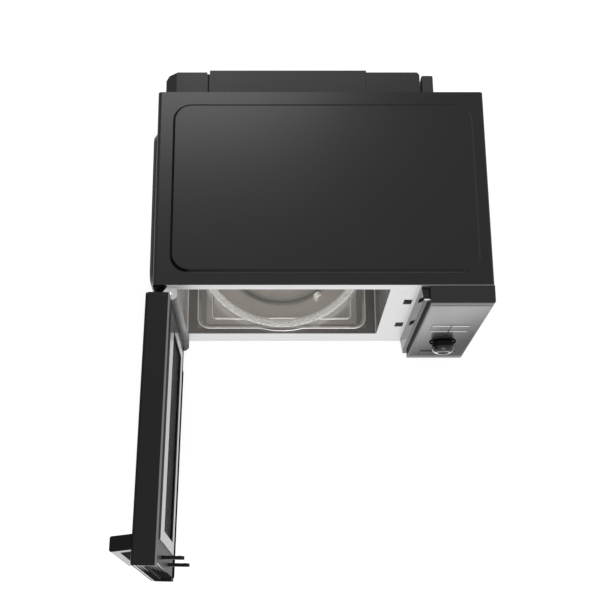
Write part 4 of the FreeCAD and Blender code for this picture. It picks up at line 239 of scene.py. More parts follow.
# Floor of the cavity: a bright pressed sheet. A rounded bead is pressed along the edge of the
# broad recess and of the well in it, which stiffens the sheet and keeps spills away from the door.
# Its colour is painted brighter in the well and darker past the recess's outer edge: painted light and shade.
floor_steel = finish("floor_steel", rolled_grain, (0.475, 0.458, 0.442), roughness=0.24, bump=0.015, shade=0.05,
                     shift=0.04, pattern=GRAIN_X, Metallic=0.85)
FLOOR_CENTRE = (-0.03533, 0.18215, 0)
WELL_HALF = (0.121, 0.1315)
RECESS_HALF = (0.146, 0.1495)
WELL_PAINTED_LIGHT, RECESS_PAINTED_LIGHT, EDGE_PAINTED_SHADE = 1.95, 1.2, 0.78
STEP_WIDTH = 0.009
PAINTED_LIGHT_FADE = 0.002


def times(first, second):
    """The product of two values or sockets."""
    return math_node("MULTIPLY", first, second)


def inside(value, low, high, edge):
    """1 where a value lies between two limits, with a soft edge."""
    return times(ramp(value, low, low + edge), ramp(value, high - edge, high, 1.0, 0.0))


def spot_from(tree, centre):
    """Where a spot lies from a centre, in the piece's own axes."""
    return vector_node("SUBTRACT", own_spot(tree), centre)


def split(vector):
    """The three parts of a vector."""
    return sum_node("ShaderNodeSeparateXYZ", {0: vector})


def past_outline(tree, half):
    """How far a spot of the floor lies outside a rectangle about the floor's middle."""
    axis = split(spot_from(tree, FLOOR_CENTRE))
    sides = [math_node("SUBTRACT", math_node("ABSOLUTE", axis[side]), half[side]) for side in range(2)]
    return math_node("MAXIMUM", *sides)


floor_tree = floor_steel.node_tree
# The floor's colour is scaled brighter in the well and darker past the recess's edge: painted light and shade.
painted_sheen = ramp(past_outline(floor_tree, WELL_HALF), STEP_WIDTH, STEP_WIDTH + PAINTED_LIGHT_FADE, WELL_PAINTED_LIGHT, RECESS_PAINTED_LIGHT)
at_edge = ramp(past_outline(floor_tree, RECESS_HALF), -PAINTED_LIGHT_FADE / 2, PAINTED_LIGHT_FADE / 2, 1.0, EDGE_PAINTED_SHADE / RECESS_PAINTED_LIGHT)
scale_colour(floor_steel, times(painted_sheen, at_edge))
coat_nodes(floor_steel, "cavity_floor")
BEAD_R = 0.0009
BEAD_SIDES = 8
BEAD_OUTLINES = [((-0.18133, 0.03265), (0.11067, 0.33165), 0.020, 0.0598, 0.1540),
                 ((-0.15633, 0.05065), (0.08567, 0.31365), 0.008, 0.0558, 0.0)]
BEAD_CORNER_STEPS = 8
BULGE_STEPS = 16
SEAM_LINES = [((-0.1986, 0.0245, 0.0606), (-0.1986, 0.3400, 0.0606)),
              ((0.1280, 0.0245, 0.0606), (0.1280, 0.3400, 0.0606))]


def geometry_tree(name, inputs):
    """An empty Geometry Nodes tree with named inputs, and its two ends."""
    tree = bpy.data.node_groups.new(name, "GeometryNodeTree")
    tree.interface.new_socket("Geometry", in_out="INPUT", socket_type="NodeSocketGeometry")
    for label, kind in inputs:
        tree.interface.new_socket(label, in_out="INPUT", socket_type=kind)
    tree.interface.new_socket("Geometry", in_out="OUTPUT", socket_type="NodeSocketGeometry")
    return tree, tree.nodes.new("NodeGroupInput").outputs, tree.nodes.new("NodeGroupOutput")


def end_geometry(tree, given, out, shape):
    """Realizes the instances, gives them their finish and ends the tree."""
    real = tree_node(tree, "GeometryNodeRealizeInstances", {"Geometry": shape})
    dressed = tree_node(tree, "GeometryNodeSetMaterial", {"Geometry": real.outputs[0], "Material": given["Finish"]})
    set_inputs(out, {"Geometry": dressed.outputs[0]})


def make_bead_tree():
    """A round rope along every edge of a mesh."""
    tree, given, out = geometry_tree("pressed_beads", [("Radius", "NodeSocketFloat"), ("Finish", "NodeSocketMaterial")])
    line = tree_node(tree, "GeometryNodeMeshToCurve", {"Mesh": given["Geometry"]})
    section = tree_node(tree, "GeometryNodeCurvePrimitiveCircle",
                        {"Resolution": BEAD_SIDES, "Radius": given["Radius"]})
    rope = tree_node(tree, "GeometryNodeCurveToMesh", {"Curve": line.outputs[0], "Profile Curve": section.outputs[0]})
    smooth = tree_node(tree, "GeometryNodeSetShadeSmooth", {0: rope.outputs[0]})
    end_geometry(tree, given, out, smooth.outputs[0])
    return tree


def new_object(name, data):
    """An object in the scene."""
    made = bpy.data.objects.new(name, data)
    bpy.context.scene.collection.objects.link(made)
    return made


def grown_mesh(name, base, tree, **values):
    """Runs a Geometry Nodes tree on a mesh and returns the plain mesh it makes."""
    host = new_object(name, base)
    modifier = host.modifiers.new(name, "NODES")
    modifier.node_group = tree
    for socket in tree.interface.items_tree:
        if socket.in_out == "INPUT" and socket.name in values:
            modifier[socket.identifier] = values[socket.name]
    ready = host.evaluated_get(bpy.context.evaluated_depsgraph_get())
    mesh = bpy.data.meshes.new_from_object(ready)
    host.modifiers.remove(modifier)
    bpy.data.objects.remove(host)
    return mesh


def add_piece(name, mesh, body, slot, *replaced):
    """Puts a finished mesh in the scene, on the body it moves with and for the nodes it stands for."""
    piece = new_object(name, mesh)
    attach(piece, body)
    if replaced:
        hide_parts(*replaced)
    return piece


def make_bead_lines():
    """Outlines of the recess and the well, with round corners, and the welded seams along the walls.
    In front the recess bulges, to clear the tray."""
    points, edges = [], []
    for (left, front), (right, back), radius, height, bulge in BEAD_OUTLINES:
        first = len(points)
        for turn, (x, y) in enumerate([(right - radius, back - radius), (left + radius, back - radius),
                                       (left + radius, front + radius), (right - radius, front + radius)]):
            for step in range(BEAD_CORNER_STEPS + 1):
                angle = math.pi / 2 * (turn + step / BEAD_CORNER_STEPS)
                points.append((x + radius * math.cos(angle), y + radius * math.sin(angle), height))
            if turn == 2 and bulge:
                half = math.acos((FLOOR_CENTRE[1] - front) / bulge)
                for step in range(BULGE_STEPS + 1):
                    angle = half * (2 * step / BULGE_STEPS - 1)
                    across, forward = bulge * math.sin(angle), bulge * math.cos(angle)
                    points.append((FLOOR_CENTRE[0] + across, FLOOR_CENTRE[1] - forward, height))
        count = len(points) - first
        edges += [(first + index, first + (index + 1) % count) for index in range(count)]
    for ends in SEAM_LINES:
        edges.append((len(points), len(points) + 1))
        points += ends
    mesh = bpy.data.meshes.new("bead_lines")
    mesh.from_pydata(points, edges, [])
    return mesh


bead_steel = finish("bead_steel", rolled_grain, (0.86, 0.86, 0.85), roughness=0.3, bump=0.02, shade=0.08,
                    pattern={"Stretch": (200.0, 200.0, 200.0)}, Metallic=0.5)
floor_beads = grown_mesh("floor_beads", make_bead_lines(), make_bead_tree(), Radius=BEAD_R, Finish=bead_steel)
add_piece("floor_beads", floor_beads, "cabinet", "cavity_steel")

# Fittings of the cavity: the mica sheet over the microwave port, the bent tube of the grill
# under the ceiling, and outside the shell the lamp and the thermal cut-out.
coat_nodes(finish("mica", zinc_spangle, (0.42, 0.37, 0.29), roughness=0.42, bump=0.6, shade=0.45,
                  pattern={"Scale": 260.0}), "waveguide_cover")
coat_nodes(finish("heater_steel", mottled_skin, (0.20, 0.175, 0.16), roughness=0.42, bump=0.3, shade=0.7,
                  pattern={"Broad Scale": 45.0}, Metallic=1.0), "grill_heater", "convection_heater")
coat_nodes(finish("lamp_body", mottled_skin, (0.72, 0.69, 0.62), roughness=0.35, bump=0.2), "oven_lamp")
GRAIN_Z = {"Stretch": (1800.0, 1800.0, 12.0)}
coat_nodes(finish("cutout_steel", rolled_grain, (0.55, 0.55, 0.54), roughness=0.35, bump=0.1, pattern=GRAIN_Z,
                  Metallic=1.0), "thermal_cutout")

# Turntable drive: a motor can under the floor, a three-armed coupler on its spindle, and a
# moulded ring with three pale rollers that carry the tray. The ring is grey, with a dark
# strip painted round its outer edge: painted shade of the ring's edge.
coat_nodes(finish("motor_steel", zinc_spangle, (0.58, 0.58, 0.57), roughness=0.36, bump=0.1, shade=0.2, Metallic=1.0),
           "turntable_motor", "convection_motor", "cooling_fan_motor")
coat_nodes(finish("coupler_plastic", mottled_skin, (0.62, 0.59, 0.54), roughness=0.42, bump=0.3), "turntable_coupler")
ring_plastic = finish("ring_plastic", mottled_skin, (0.20, 0.195, 0.19), roughness=0.42, bump=0.3)
RING_AXIS = (-0.0353251, 0.1826495, 0)
STRIP_R = (0.1012, 0.1060)
STRIP_EDGE = 0.0004
EDGE_SHADE_BLACK = (0.035, 0.034, 0.033, 1)


def mixed_colour(mask, base, over):
    """One colour, and another where a mask is 1."""
    return sum_node("ShaderNodeMix", {0: mask, 6: base, 7: over}, data_type="RGBA")[2]


def paint_where(material, mask, colour):
    """Gives a finish another colour where a mask is 1."""
    set_shader(material, Base_Color=mixed_colour(mask, base_colour(material), colour))


level = vector_node("MULTIPLY", spot_from(ring_plastic.node_tree, RING_AXIS), (1, 1, 0))
reach = vector_node("LENGTH", level)
# A dark strip painted round the ring's outer edge: painted shade.
paint_where(ring_plastic, inside(reach, *STRIP_R, STRIP_EDGE), EDGE_SHADE_BLACK)
coat_nodes(ring_plastic, "roller_ring")
coat_nodes(finish("roller_plastic", mottled_skin, (0.82, 0.81, 0.79), roughness=0.38, bump=0.2),
           "roller_1", "roller_2", "roller_3")

# Glass tray: pressed and toughened, clear in the flat middle, with fine radial flutes pressed
# into its sloping rim, which looks frosted. The frost is painted in radial streaks: partly the
# flutes' own frosting, partly a painted sparkle of light on them. Three lugs underneath take the coupler.
TRAY_CENTRE = Vector((-0.0353251, 0.1826495, 0.0661))
TRAY_FLUTES = 220
STEPS_PER_FLUTE = 3
FLUTE_HEIGHT = 0.0005
TRAY_PROFILE = [(0, 4.5), (45, 4.5), (90, 4.5), (120, 4.5), (126, 4.5), (128.5, 4.7), (130, 5.1), (136, 6.8),
                (138.5, 7.5), (140, 7.95), (142, 8.5), (144.5, 9.2), (146, 9.65), (147, 10.1), (148, 10.7), (149, 11),
                (151.4, 11), (152.3, 10.7), (152.5, 10), (152.5, 8.5), (150, 6.5), (139, 3.3), (128, 0.1), (126, 0),
                (90, 0), (45, 0), (0, 0)]
FLUTED_R = (139, 147)
RIM_GLASS_R = 0.1380
RIM_FROSTED_R = 0.1440
RIM_CLEAR = (0.48, 0.465, 0.44, 1)
RIM_STREAKS = (38.0, 380.0, 0.0)
SPARKLE_LEVELS = (0.40, 0.56)
SPARKLE_FROST, BASE_FROST = 0.80, 0.35
TRAY_CREASE = 50
LUG_R, LUG_LENGTH, LUG_WIDTH, LUG_DROP, LUG_ROOT = 0.020, 0.009, 0.008, 0.004, 0.001
LUG_DEGREES = (60, 180, 300)
MM = 1e-3
SAME_PLACE = 1e-6


def plain_mesh(name, bm):
    """Makes a mesh of what is drawn."""
    mesh = bpy.data.meshes.new(name)
    bm.to_mesh(mesh)
    bm.free()
    return mesh


def closed_mesh(name, bm):
    """Merges doubled corners, points the faces outwards and makes a mesh of them."""
    bmesh.ops.remove_doubles(bm, verts=bm.verts, dist=SAME_PLACE)
    bmesh.ops.recalc_face_normals(bm, faces=bm.faces)
    return plain_mesh(name, bm)


def shade_smooth(mesh, degrees):
    """Smooth shading, with a crease where faces meet at more than an angle."""
    for face in mesh.polygons:
        face.use_smooth = True
    mesh.set_sharp_from_angle(angle=math.radians(degrees))


def add_box(bm, low, high, edge=0.0):
    """Adds a block between two corners, with its edges broken by a small bevel."""
    made = bmesh.ops.create_cube(bm, size=1.0)["verts"]
    for vert in made:
        vert.co = Vector([high[axis] if vert.co[axis] > 0 else low[axis] for axis in range(3)])
    if edge:
        edges = list({side for vert in made for side in vert.link_edges})
        bmesh.ops.bevel(bm, geom=edges, offset=edge, segments=2, profile=0.5, affect="EDGES")
    return made


def add_turned(bm, profile, sides, lift=None):
    """Adds a wall turned about Z and returns its rings. The profile gives radius and height in millimetres,
    and lift may raise single points."""
    rings = []
    for index, (radius, height) in enumerate(profile):
        ring = []
        for side in range(sides):
            angle = 2 * math.pi * side / sides
            x, y = radius * MM * math.cos(angle), radius * MM * math.sin(angle)
            ring.append(bm.verts.new((x, y, height * MM + (lift(index, side) if lift else 0.0))))
        rings.append(ring)
    for inner, outer in zip(rings, rings[1:]):
        for side in range(sides):
            after = (side + 1) % sides
            bm.faces.new((inner[side], inner[after], outer[after], outer[side]))
    return rings


def flute_lift(index, step):
    """How far a point of the tray's profile is raised by the flutes of the rim."""
    radius = TRAY_PROFILE[index][0]
    fluted = index < len(TRAY_PROFILE) / 2 and FLUTED_R[0] < radius < FLUTED_R[1]
    return FLUTE_HEIGHT * math.cos(2 * math.pi * step / STEPS_PER_FLUTE) if fluted else 0.0


def make_tray_mesh():
    """The tray's profile turned about its axis, with flutes on the rim and lugs underneath."""
    bm = bmesh.new()
    for degrees in LUG_DEGREES:
        made = add_box(bm, (LUG_R - LUG_LENGTH / 2, -LUG_WIDTH / 2, -LUG_DROP),
                       (LUG_R + LUG_LENGTH / 2, LUG_WIDTH / 2, LUG_ROOT))
        bmesh.ops.rotate(bm, verts=made, matrix=Matrix.Rotation(math.radians(degrees), 3, "Z"))
    add_turned(bm, TRAY_PROFILE, TRAY_FLUTES * STEPS_PER_FLUTE, flute_lift)
    bmesh.ops.translate(bm, verts=bm.verts, vec=TRAY_CENTRE)
    mesh = closed_mesh("tray", bm)
    for face in mesh.polygons:
        face.material_index = int((face.center - TRAY_CENTRE).xy.length > RIM_GLASS_R)
    shade_smooth(mesh, TRAY_CREASE)
    return mesh


tray_glass = finish("tray_glass", mottled_skin, (0.97, 0.95, 0.92), roughness=0.04, bump=0.05, shade=0.02, shift=0.04,
                    Transmission_Weight=0.95, IOR=1.5)
rim_glass = finish("rim_glass", mottled_skin, (1.0, 0.995, 0.97), roughness=0.32, bump=0.3, shade=0.03,
                   Transmission_Weight=0.22, IOR=1.5)
from_hub = spot_from(rim_glass.node_tree, TRAY_CENTRE)
hub_axis = split(from_hub)
turn = math_node("ARCTAN2", hub_axis[1], hub_axis[0])
reach = vector_node("LENGTH", from_hub)
polar = sum_node("ShaderNodeCombineXYZ", {0: turn, 1: reach})[0]
# Radial streaks of frost: partly the flutes' frosting, partly a painted sparkle of light.
sparkle_streak = ramp(noise(vector_node("MULTIPLY", polar, RIM_STREAKS), 1.0, 2.0)[0], *SPARKLE_LEVELS)
frosting = times(ramp(reach, RIM_GLASS_R, RIM_FROSTED_R), math_node("MULTIPLY_ADD", sparkle_streak, SPARKLE_FROST, BASE_FROST))
paint_where(rim_glass, math_node("SUBTRACT", 1.0, frosting), RIM_CLEAR)
tray_mesh = make_tray_mesh()
tray_mesh.materials.append(tray_glass)
tray_mesh.materials.append(rim_glass)
tray = add_piece("turntable_tray", tray_mesh, "tray", "tray_glass", "glass_turntable")
tray.visible_shadow = False

# Hot-air unit on the back of the cavity: a galvanised chamber, a folded aluminium wheel
# with its motor behind, and the ring heater round it.
coat_nodes(galvanised, "fan_chamber", "waveguide")
coat_nodes(finish("fan_aluminium", rolled_grain, (0.72, 0.72, 0.72), roughness=0.33, bump=0.1, pattern=GRAIN_X,
                  Metallic=1.0), "convection_fan")

# Electrical bay on the right: the magnetron on its waveguide, the transformer, the capacitor,
# the cooling fan in its shroud, and the bracket with the door switches.
coat_nodes(finish("magnetron_metal", rolled_grain, (0.62, 0.62, 0.61), roughness=0.38, bump=0.1, pattern=GRAIN_Z,
                  Metallic=1.0), "magnetron")
coat_nodes(finish("capacitor_can", rolled_grain, (0.66, 0.66, 0.65), roughness=0.42, bump=0.1, pattern=GRAIN_Z,
                  Metallic=1.0), "high_voltage_capacitor")
coat_nodes(finish("transformer_iron", rolled_grain, (0.26, 0.15, 0.09), roughness=0.4, bump=1.0, shade=0.5,
                  pattern={"Stretch": (40.0, 1500.0, 40.0)}, Metallic=0.6), "high_voltage_transformer")
coat_nodes(finish("fan_plastic", mottled_skin, (0.05, 0.05, 0.052), roughness=0.48, bump=0.3),
           "cooling_fan_blade", "cooling_fan_shroud")
coat_nodes(finish("bracket_plastic", mottled_skin, (0.70, 0.70, 0.69), roughness=0.4, bump=0.3), "interlock_bracket")
coat_nodes(finish("switch_plastic", mottled_skin, (0.04, 0.04, 0.042), roughness=0.42, bump=0.3),
           "interlock_switches")

# Front plate: bright stainless sheet round the mouth of the cavity, with slots for the latch
# hooks and the hinge lugs. Its top edge is folded, and shows as a bright line in the seam
# between the cover and the control panel.
coat_nodes(finish("front_steel", rolled_grain, (0.66, 0.66, 0.66), roughness=0.3, bump=0.04, shade=0.06,
                  pattern=GRAIN_X, Metallic=0.85), "front_plate")
SEAM_LOW = Vector((0.1725, 0.0220, 0.3240))
SEAM_HIGH = Vector((0.2836, 0.0226, 0.3252))
SEAM_EDGE = 0.00015


def box_mesh(name, low, high, edge):
    """A block between two corners, as a mesh of its own."""
    bm = bmesh.new()
    add_box(bm, low, high, edge)
    return closed_mesh(name, bm)


seam_mesh = box_mesh("front_fold", SEAM_LOW, SEAM_HIGH, SEAM_EDGE)
fold_steel = finish("fold_steel", rolled_grain, (0.36, 0.36, 0.36), roughness=0.4, bump=0.04, shade=0.1,
                    pattern=GRAIN_X, Metallic=0.85)
seam_mesh.materials.append(fold_steel)
add_piece("front_fold", seam_mesh, "cabinet", "front_steel")

# Hinges: plated steel lugs that come through the front plate, each with its pin, and held to
# the plate's fold by a round-headed rivet. The rivet heads are dark, with a bright crown painted
# on top: a painted highlight over painted shade on the sides.
coat_nodes(finish("hinge_steel", rolled_grain, (0.42, 0.42, 0.42), roughness=0.2, bump=0.05, shade=0.3,
                  pattern={"Stretch": (300.0, 300.0, 300.0)}, Metallic=1.0), "hinge_brackets", "hinge_pins")
RIVET_PROFILE = [(0, 1.35), (1.2, 1.3), (2.2, 1.05), (2.9, 0.6), (3.2, 0.1), (4.0, 0)]
RIVET_SIDES = 20
RIVET_CREASE = 40
FACING_UP, FACING_DOWN = (0, 0, 1), (0, 0, -1)
RIVET_PLACES = [((-0.2085, 0.0085, 0.3175), FACING_UP), ((-0.2085, 0.0085, 0.0195), FACING_DOWN)]
RIVET_CROWN_HIGHLIGHT = (0.62, 0.62, 0.62, 1)
CROWN_LEAN = (0.8, 0.97)


def make_rivet_head():
    """Round head, standing on Z = 0."""
    bm = bmesh.new()
    add_turned(bm, RIVET_PROFILE, RIVET_SIDES)
    mesh = closed_mesh("rivet_head", bm)
    shade_smooth(mesh, RIVET_CREASE)
    return mesh


def make_copies_tree():
    """One copy of a pattern on each point of a mesh, turned to the direction that the point carries."""
    tree, given, out = geometry_tree("placed_copies",
                                     [("Pattern", "NodeSocketObject"), ("Finish", "NodeSocketMaterial")])
    pattern = tree_node(tree, "GeometryNodeObjectInfo", {"Object": given["Pattern"]})
    facing = tree_node(tree, "GeometryNodeInputNamedAttribute", {"Name": "facing"}, data_type="FLOAT_VECTOR")
    turned = tree_node(tree, "FunctionNodeAlignRotationToVector", {"Vector": facing.outputs[0]}, axis="Z")
    placed = tree_node(tree, "GeometryNodeInstanceOnPoints",
                       {"Points": given["Geometry"], "Instance": pattern.outputs["Geometry"],
                        "Rotation": turned.outputs[0]})
    end_geometry(tree, given, out, placed.outputs[0])
    return tree


placed_copies = make_copies_tree()


def copies_mesh(name, shape, places, material):
    """Copies of a shape at places, each with the direction that its Z faces, as one mesh."""
    points = bpy.data.meshes.new(name + "_points")
    points.from_pydata([place for place, _ in places], [], [])
    facing = points.attributes.new("facing", "FLOAT_VECTOR", "POINT")
    for index, (_, direction) in enumerate(places):
        facing.data[index].vector = direction
    pattern = new_object(name + "_pattern", shape)
    mesh = grown_mesh(name, points, placed_copies, Pattern=pattern, Finish=material)
    bpy.data.objects.remove(pattern)
    return mesh


rivet_steel = finish("rivet_steel", rolled_grain, (0.10, 0.10, 0.10), roughness=0.25, bump=0.05, shade=0.2,
                     pattern={"Stretch": (300.0, 300.0, 300.0)}, Metallic=1.0)
# The up-facing crown is painted bright: a painted highlight.
paint_where(rivet_steel, face_mask(rivet_steel.node_tree, FACING_UP, *CROWN_LEAN), RIVET_CROWN_HIGHLIGHT)
rivets = copies_mesh("hinge_rivets", make_rivet_head(), RIVET_PLACES, rivet_steel)
add_piece("hinge_rivets", rivets, "cabinet", "hinge_steel")

# Control panel: a moulded black body on the right of the front, and beside it the set-back
# gloss strip that the closed door covers. The fine grain of the mould stays on its top. A bright
# line is painted along the strip's front top edge: a painted highlight.
panel_plastic = finish("panel_plastic", mottled_skin, (0.026, 0.026, 0.0265), roughness=0.45, bump=0.5, shift=0.04,
                       pattern={"Fine Scale": 1500.0}, Specular_IOR_Level=0.12, Coat_Roughness=0.2)
PANEL_FRONT_GLOSS = 0.75
FACING_FRONT = (0, -1, 0)
front_gloss = times(face_mask(panel_plastic.node_tree, FACING_FRONT), PANEL_FRONT_GLOSS)
set_shader(panel_plastic, Coat_Weight=front_gloss)
coat_nodes(panel_plastic, "control_housing")
trim_plastic = finish("trim_plastic", mottled_skin, (0.007, 0.007, 0.007), roughness=0.05, bump=0.02, shift=0.03,
                      Specular_IOR_Level=0.25)
trim_low, trim_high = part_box("control_side_trim")
TRIM_PAINTED_HIGHLIGHT = (0.75, 0.75, 0.75, 1)
TRIM_HIGHLIGHT_WIDTH = 0.0022
TRIM_HIGHLIGHT_FADE = 0.0006
TRIM_MARGIN = 0.001
trim_axis = split(own_spot(trim_plastic.node_tree))
near_front = inside(trim_axis[1], trim_low[1] - TRIM_MARGIN, trim_low[1] + TRIM_HIGHLIGHT_WIDTH, TRIM_HIGHLIGHT_FADE)
near_top = inside(trim_axis[2], trim_high[2] - TRIM_HIGHLIGHT_WIDTH, trim_high[2] + TRIM_MARGIN, TRIM_HIGHLIGHT_FADE)
# A bright line at the strip's front top edge: a painted highlight.
paint_where(trim_plastic, times(near_front, near_top), TRIM_PAINTED_HIGHLIGHT)
coat_nodes(trim_plastic, "control_side_trim")

# Fascia: a dark metallic film under clear lacquer. Its colour runs from grey at the top to nearly
# black at the foot: a painted reflection of the bright floor. The display lens and the key caps carry
# the same film, so the display doesn't show until it is lit. A dark line runs along the film's top
# edge, and painted shadow lines lie above the key bars.
FASCIA_LEFT, FASCIA_RIGHT = 0.18887, 0.28097
FASCIA_LOW, FASCIA_HIGH = 0.0212, 0.3118
FASCIA_EDGE, FASCIA_EDGE_FADE = 0.0032, 0.00064
FILM_PAINTED_REFLECTION = (0.43, 0.43, 0.43, 1)
FILM_DARK = (0.035, 0.035, 0.036, 1)
FILM_EDGE = (0.012, 0.012, 0.012, 1)
FILM_SLANT = 0.45
FILM_RUN = (-0.2, 0.75)
FILM_FLECK = 0.24
FILM_SHIFT = 0.1
BAR_SHADOW_LEFT, BAR_SHADOW_RIGHT = 0.2046, 0.2652
BAR_SHADOW_LINES = [(0.2067, 0.2112), (0.1765, 0.1810), (0.0512, 0.0550)]
BAR_SHADOW_EDGE = 0.0004
BAR_SHADOW_DEPTH = 0.55
DIAL_CENTRE = (0.23492, -0.00635, 0.112)
DIAL_RECESS_R = 0.0225
DIAL_SHADE = 0.12
DIAL_FADE = 0.0005


def make_film(name, roughness):
    """The film with its painted reflection from light to dark, its fine flecks and dark top line, the painted
    shadow lines above the key bars, and the dark disc behind the dial.
    """
    material, tree = new_material(name, Metallic=0.9, Specular_Tint=(0.62, 0.62, 0.62, 1))
    spot = own_spot(tree)
    axis = split(spot)
    up = ramp(axis[2], FASCIA_LOW, FASCIA_HIGH)
    across = ramp(axis[0], FASCIA_LEFT, FASCIA_RIGHT)
    slope = math_node("MULTIPLY_ADD", across, -FILM_SLANT, up)
    shade = ramp(slope, *FILM_RUN, interpolation_type="SMOOTHSTEP")
    # Grey at the top to black at the foot: a painted reflection.
    film = mixed_colour(shade, FILM_DARK, FILM_PAINTED_REFLECTION)
    edge_from = FASCIA_HIGH - FASCIA_EDGE
    edged = mixed_colour(ramp(axis[2], edge_from, edge_from + FASCIA_EDGE_FADE), film, FILM_EDGE)
    # Dark lines above the key bars: painted shadow.
    bar_shadow = 0.0
    for low, high in BAR_SHADOW_LINES:
        bar_shadow = math_node("ADD", bar_shadow, inside(axis[2], low, high, BAR_SHADOW_EDGE))
    bar_shadow = times(bar_shadow, inside(axis[0], BAR_SHADOW_LEFT, BAR_SHADOW_RIGHT, BAR_SHADOW_EDGE))
    grain = noise(spot, 1600.0, 2.0)[0]
    fleck = math_node("MULTIPLY_ADD", grain, FILM_FLECK, 1.0 - FILM_FLECK / 2)
    fleck = times(fleck, math_node("MULTIPLY_ADD", bar_shadow, -BAR_SHADOW_DEPTH, 1.0))
    off_dial = vector_node("DISTANCE", spot, DIAL_CENTRE)
    by_dial = ramp(off_dial, DIAL_RECESS_R - DIAL_FADE, DIAL_RECESS_R, DIAL_SHADE, 1.0)
    uneven = math_node("MULTIPLY_ADD", grain, FILM_SHIFT, roughness - FILM_SHIFT / 2)
    set_shader(material, Base_Color=edged, Roughness=uneven)
    scale_colour(material, times(fleck, by_dial))
    return material


fascia_film = make_film("fascia_film", 0.26)
coat_nodes(fascia_film, "control_fascia", "display_window")
key_film = make_film("key_film", 0.28)
KEYS = ("upper_left", "upper_right", "lower_left", "lower_right")
coat_nodes(key_film, *[key + "_key" for key in KEYS])

# Key bars: each upper key has a bright moulded bar along its upper and its lower edge, which
# stands off the film and marks where the finger goes. The lower keys have one dull bar each.
BAR_PROUD, BAR_ROOT = 0.0010, 0.0003
BAR_HEIGHT = 0.0014
BAR_SIDE_GAP = 0.0004
BAR_INSET = 0.0026
BAR_EDGE = 0.00025
bar_silver = finish("bar_silver", rolled_grain, (0.92, 0.92, 0.92), roughness=0.3, bump=0.05, pattern=GRAIN_X,
                    Metallic=0.5)
bar_grey = finish("bar_grey", rolled_grain, (0.16, 0.16, 0.16), roughness=0.4, bump=0.05, pattern=GRAIN_X,
                  Metallic=0.7)
for key in KEYS:
    low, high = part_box(key + "_key")
    width = high[0] - low[0] - 2 * BAR_SIDE_GAP
    bar = box_mesh(key + "_bar", (-width / 2, -BAR_PROUD, -BAR_HEIGHT / 2), (width / 2, BAR_ROOT, BAR_HEIGHT / 2),
                   BAR_EDGE)
    silver = key.startswith("upper")
    heights = [high[2] - BAR_INSET, low[2] + BAR_INSET] if silver else [high[2] - BAR_INSET]
    places = [(((low[0] + high[0]) / 2, low[1], height), FACING_UP) for height in heights]
    bars = copies_mesh(key + "_bars", bar, places, bar_silver if silver else bar_grey)
    add_piece(key + "_bars", bars, key + "_button", "rim_chrome")

# Dial: a gloss black knob on the encoder's shaft, with a rounded nose plated in smoked chrome.
# Its lower half is painted bright metal: a painted reflection of the floor below. A dark bezel
# on the fascia surrounds its foot, and behind the fascia sits the circuit board.
coat_nodes(finish("knob_black", mottled_skin, (0.012, 0.012, 0.0125), roughness=0.2, bump=0.05, shift=0.04,
                  Specular_IOR_Level=0.06), "knob")
coat_nodes(finish("bezel_black", mottled_skin, (0.006, 0.006, 0.006), roughness=0.5, bump=0.1,
                  Specular_IOR_Level=0.0), "knob_bezel")
NOSE_PAINTED_REFLECTION = (0.88, 0.88, 0.88, 1)
NOSE_LEAN = (-0.1, 0.04)


def plate_where(material, mask, colour):
    """Turns a finish to metal of another colour where a mask is 1."""
    paint_where(material, mask, colour)
    set_shader(material, Metallic=mask)


nose_chrome = finish("nose_chrome", rolled_grain, (0.016, 0.016, 0.0165), roughness=0.12, bump=0.02, shade=0.2,
                     shift=0.04, pattern={"Stretch": (200.0, 200.0, 200.0)}, Specular_IOR_Level=0.3)
# The down-facing half of the nose is painted bright metal: a painted reflection.
plate_where(nose_chrome, face_mask(nose_chrome.node_tree, FACING_DOWN, *NOSE_LEAN), NOSE_PAINTED_REFLECTION)
coat_nodes(nose_chrome, "knob_rim")
coat_nodes(finish("board_green", zinc_spangle, (0.03, 0.15, 0.06), roughness=0.38, bump=0.5, shade=0.35,
                  pattern={"Scale": 420.0}), "control_board")

# Door frame: one black moulding behind the glass, satin on its inner side and dull elsewhere.
# A grey line is painted along the inner edge of its top: a painted highlight of the rounded edge.
# On its free end, near the top, the light on the ribs left by the mould's slide, a glint below the
# top and a bright line along the glass's edge are painted in grey: painted highlights.
DOOR_PIVOT = Vector((-0.2213251, 0.0056495, 0.0))
DOOR_DEGREES = -91.3
DOOR_TOP = 0.3235
FACING_IN = (0.9997, -0.0227, 0)
FACING_FREE_END = (-0.0227, -0.9997, 0)
INNER_GLOSS = 0.54
DULL_FOOT, FOOT_FADE = 0.040, 0.002
TOP_GLOSS = 0.2
RIB_LENGTHS = (0.07, 0.20)
RIB_PITCH = 0.0047
RIB_LIFT = 0.2
RIB_PAINTED_HIGHLIGHT = (0.60, 0.60, 0.60, 1)
RIBS_FROM, RIBS_TO = -0.0195, 0.0133
RIB_EDGE = 0.0026
END_GLINTS = (0.30, 0.46)
END_GLINT_DROP = 0.035
GLASS_EDGE_LINE, GLASS_EDGE_FADE = (-0.0204, -0.0172), 0.0003
EDGE_LINE, EDGE_FADE = (0.0104, 0.0140), 0.0004
EDGE_PAINTED_HIGHLIGHT = (0.20, 0.20, 0.20, 1)


def door_axes(tree):
    """Distances along the door from its pivot, through its thickness and up, however far it stands open."""
    swing = {0: own_spot(tree), "Location": DOOR_PIVOT, "Rotation": (0, 0, math.radians(DOOR_DEGREES))}
    return split(sum_node("ShaderNodeMapping", swing, vector_type="TEXTURE")[0])


